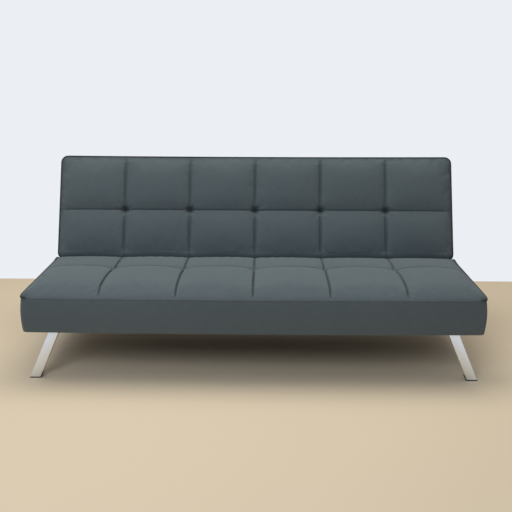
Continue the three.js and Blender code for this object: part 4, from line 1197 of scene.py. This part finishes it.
def make_materials():
    timber = linear(168, 124, 78), linear(222, 190, 142)
    board = linear(128, 98, 62), linear(182, 150, 106)
    plastic = linear(20, 21, 23), linear(34, 35, 37)
    steel = linear(30, 32, 34), linear(46, 48, 50)
    return {
        "upholstery": woven("upholstery", linear(69, 78, 83), linear(103, 113, 119)),
        # The piping cloth is drawn much darker than the upholstery: partly its own darker cloth, partly painted
        # shade of the cord's groove
        "piping": woven("piping", linear(36, 41, 44), linear(56, 62, 66), slanted=True),
        "lining": lining_cloth(),
        "chrome": metal("chrome", linear(229, 233, 238), (0.22, 0.32), 0.05, 900.0),
        "zinc_steel": metal("zinc_steel", linear(196, 199, 202), (0.26, 0.42), 0.2, 500.0),
        "foot_plastic": coated("foot_plastic", *plastic, 0.5, 1500.0, 0.25),
        "black_steel": coated("black_steel", *steel, 0.45, 900.0, 0.2),
        "timber": planed_wood("timber", *timber, 55.0, 0),
        "timber_along": planed_wood("timber_along", *timber, 55.0, 1),
        "board": planed_wood("board", *board, 18.0, 0),
    }


def soften_group():
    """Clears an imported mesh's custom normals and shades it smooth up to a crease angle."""
    tree = bpy.data.node_groups.new("soft_edges", "GeometryNodeTree")
    for way in ("INPUT", "OUTPUT"):
        tree.interface.new_socket("Geometry", in_out=way, socket_type="NodeSocketGeometry")
    start = node(tree, "NodeGroupInput").outputs[0]
    inputs = {"Geometry": start, "Name": "custom_normal"}
    bare = node(tree, "GeometryNodeRemoveAttribute", inputs).outputs[0]
    inputs = {"Geometry": bare, "Shade Smooth": True}
    smooth = node(tree, "GeometryNodeSetShadeSmooth", inputs).outputs[0]
    fold = node(tree, "GeometryNodeInputMeshEdgeAngle").outputs["Unsigned Angle"]
    inputs = {"A": fold, "B": smooth_angle}
    creased = node(tree, "FunctionNodeCompare", inputs, operation="GREATER_THAN").outputs[0]
    inputs = {"Geometry": smooth, "Selection": creased, "Shade Smooth": False}
    ended = node(tree, "GeometryNodeSetShadeSmooth", inputs, domain="EDGE").outputs[0]
    node(tree, "NodeGroupOutput", {0: ended})
    return tree


def dress_node(cad_node, material, soften, edge_width):
    """Gives a CAD node its finish and small rounded edges that catch the light."""
    cad_node.data.materials.clear()
    cad_node.data.materials.append(material)
    weld = cad_node.modifiers.new("Weld", "WELD")
    weld.merge_threshold = weld_reach
    if edge_width:
        bevel = cad_node.modifiers.new("Bevel", "BEVEL")
        bevel.width = edge_width
        bevel.segments = 2
        bevel.limit_method = "ANGLE"
        bevel.angle_limit = bevel_angle
    smooth = cad_node.modifiers.new("Soft edges", "NODES")
    smooth.node_group = soften


def dress_nodes(materials):
    soften = soften_group()
    rows = frame["record"]["subparts"]
    slots = {row["node"]: row["material_slot"] for row in rows if "material_slot" in row}
    for name, cad_node in frame["nodes"].items():
        slot = slots.get(name) or cad_node.data.materials[0].name
        along = slot == "timber" and any(word in name for word in along_words)
        material = materials["timber_along" if along else slot]
        dress_node(cad_node, material, soften, edge_widths.get(slot))


# Surroundings
def camera_ray(tree):
    rays = node(tree, "ShaderNodeLightPath").outputs
    seen = maths(tree, "MAXIMUM", rays["Is Camera Ray"], rays["Is Glossy Ray"])
    return maths(tree, "MAXIMUM", seen, rays["Is Transmission Ray"])


def make_world():
    world = bpy.data.worlds.new("studio")
    bpy.context.scene.world = world
    world.use_nodes = True
    tree = world.node_tree
    tree.nodes.clear()
    toward = node(tree, "ShaderNodeTexCoord").outputs["Generated"]
    x, _, z = node(tree, "ShaderNodeSeparateXYZ", {0: toward}).outputs
    above = spread(tree, z, (sky_low, sky_high), (0, sky_strength))
    beside = spread(tree, maths(tree, "ABSOLUTE", x), (side_start, side_end), (0, side_strength))
    beside = times(tree, beside, spread(tree, z, (0, horizon_fade), whole))
    strength = plus(tree, above, beside)
    lit = node(tree, "ShaderNodeBackground", {"Color": (*sky_color, 1), "Strength": strength})
    seen = node(tree, "ShaderNodeBackground", {"Color": (*background_color, 1), "Strength": 1.0})
    inputs = {0: camera_ray(tree), 1: lit.outputs[0], 2: seen.outputs[0]}
    surface = node(tree, "ShaderNodeMixShader", inputs).outputs[0]
    node(tree, "ShaderNodeOutputWorld", {"Surface": surface})


def make_floor():
    sides, ends = (-floor_half_width, floor_half_width), (floor_front, floor_rear)
    corners = [(x, y, 0) for x in sides for y in ends]
    floor = new_object("floor", corners, [(0, 2, 3, 1)], Matrix.Identity(4))
    material, tree, shader = new_material("floor", (*floor_color, 1), Roughness=floor_rough)
    shader.inputs["Specular IOR Level"].default_value = floor_gloss
    shader.inputs["Base Color"].default_value = linear(*[c * 255 for c in floor_color])
    floor.data.materials.append(material)


def area_light(name, place, target, size, power, color):
    light = bpy.data.lights.new(name, "AREA")
    light.shape = "RECTANGLE"
    light.size, light.size_y = size
    light.energy = power
    light.color = color
    made = linked(name, light)
    made.location = place
    made.rotation_euler = (target - place).to_track_quat("-Z", "Y").to_euler()


def make_camera():
    camera = bpy.data.cameras.new("camera")
    camera.sensor_width = sensor_width
    camera.lens = focal_pixels / photo_size * sensor_width
    made = linked("camera", camera)
    turn = Matrix.Rotation(camera_turn, 4, "Z") @ Matrix.Rotation(math.pi / 2 - camera_pitch, 4, "X")
    made.matrix_world = Matrix.Translation(camera_place) @ turn @ Matrix.Rotation(camera_roll, 4, "Z")
    bpy.context.scene.camera = made


def make_surroundings():
    make_world()
    make_floor()
    area_light("key", key_place, key_target, key_size, key_power, key_color)
    area_light("fill", fill_place, fill_target, fill_size, fill_power, fill_color)
    make_camera()
    bpy.context.scene.view_settings.view_transform = "Standard"


def main():
    materials = make_materials()
    dress_nodes(materials)
    for name in ("seat", "back"):
        cushion, grid = make_cushion(name)
        cushion.data.materials.clear()
        cushion.data.materials.append(materials["upholstery"])
        piping = make_piping(name, grid)
        piping.data.materials.append(materials["piping"])
        stitches = make_stitches(name, cushion, grid)
        stitches.data.materials.append(materials["piping"])
    for name, replaced, rests_on in (
        ("seat", "seat_dust_cover", ["seat_front_rail", "seat_rear_rail"]),
        ("back", "back_rear_cover", ["back_top_rail", "back_bottom_rail"]),
    ):
        cover, staples = make_cover(name, replaced)
        cover.data.materials.append(materials["lining"])
        staples.data.materials.append(materials["zinc_steel"])
    make_surroundings()


main()
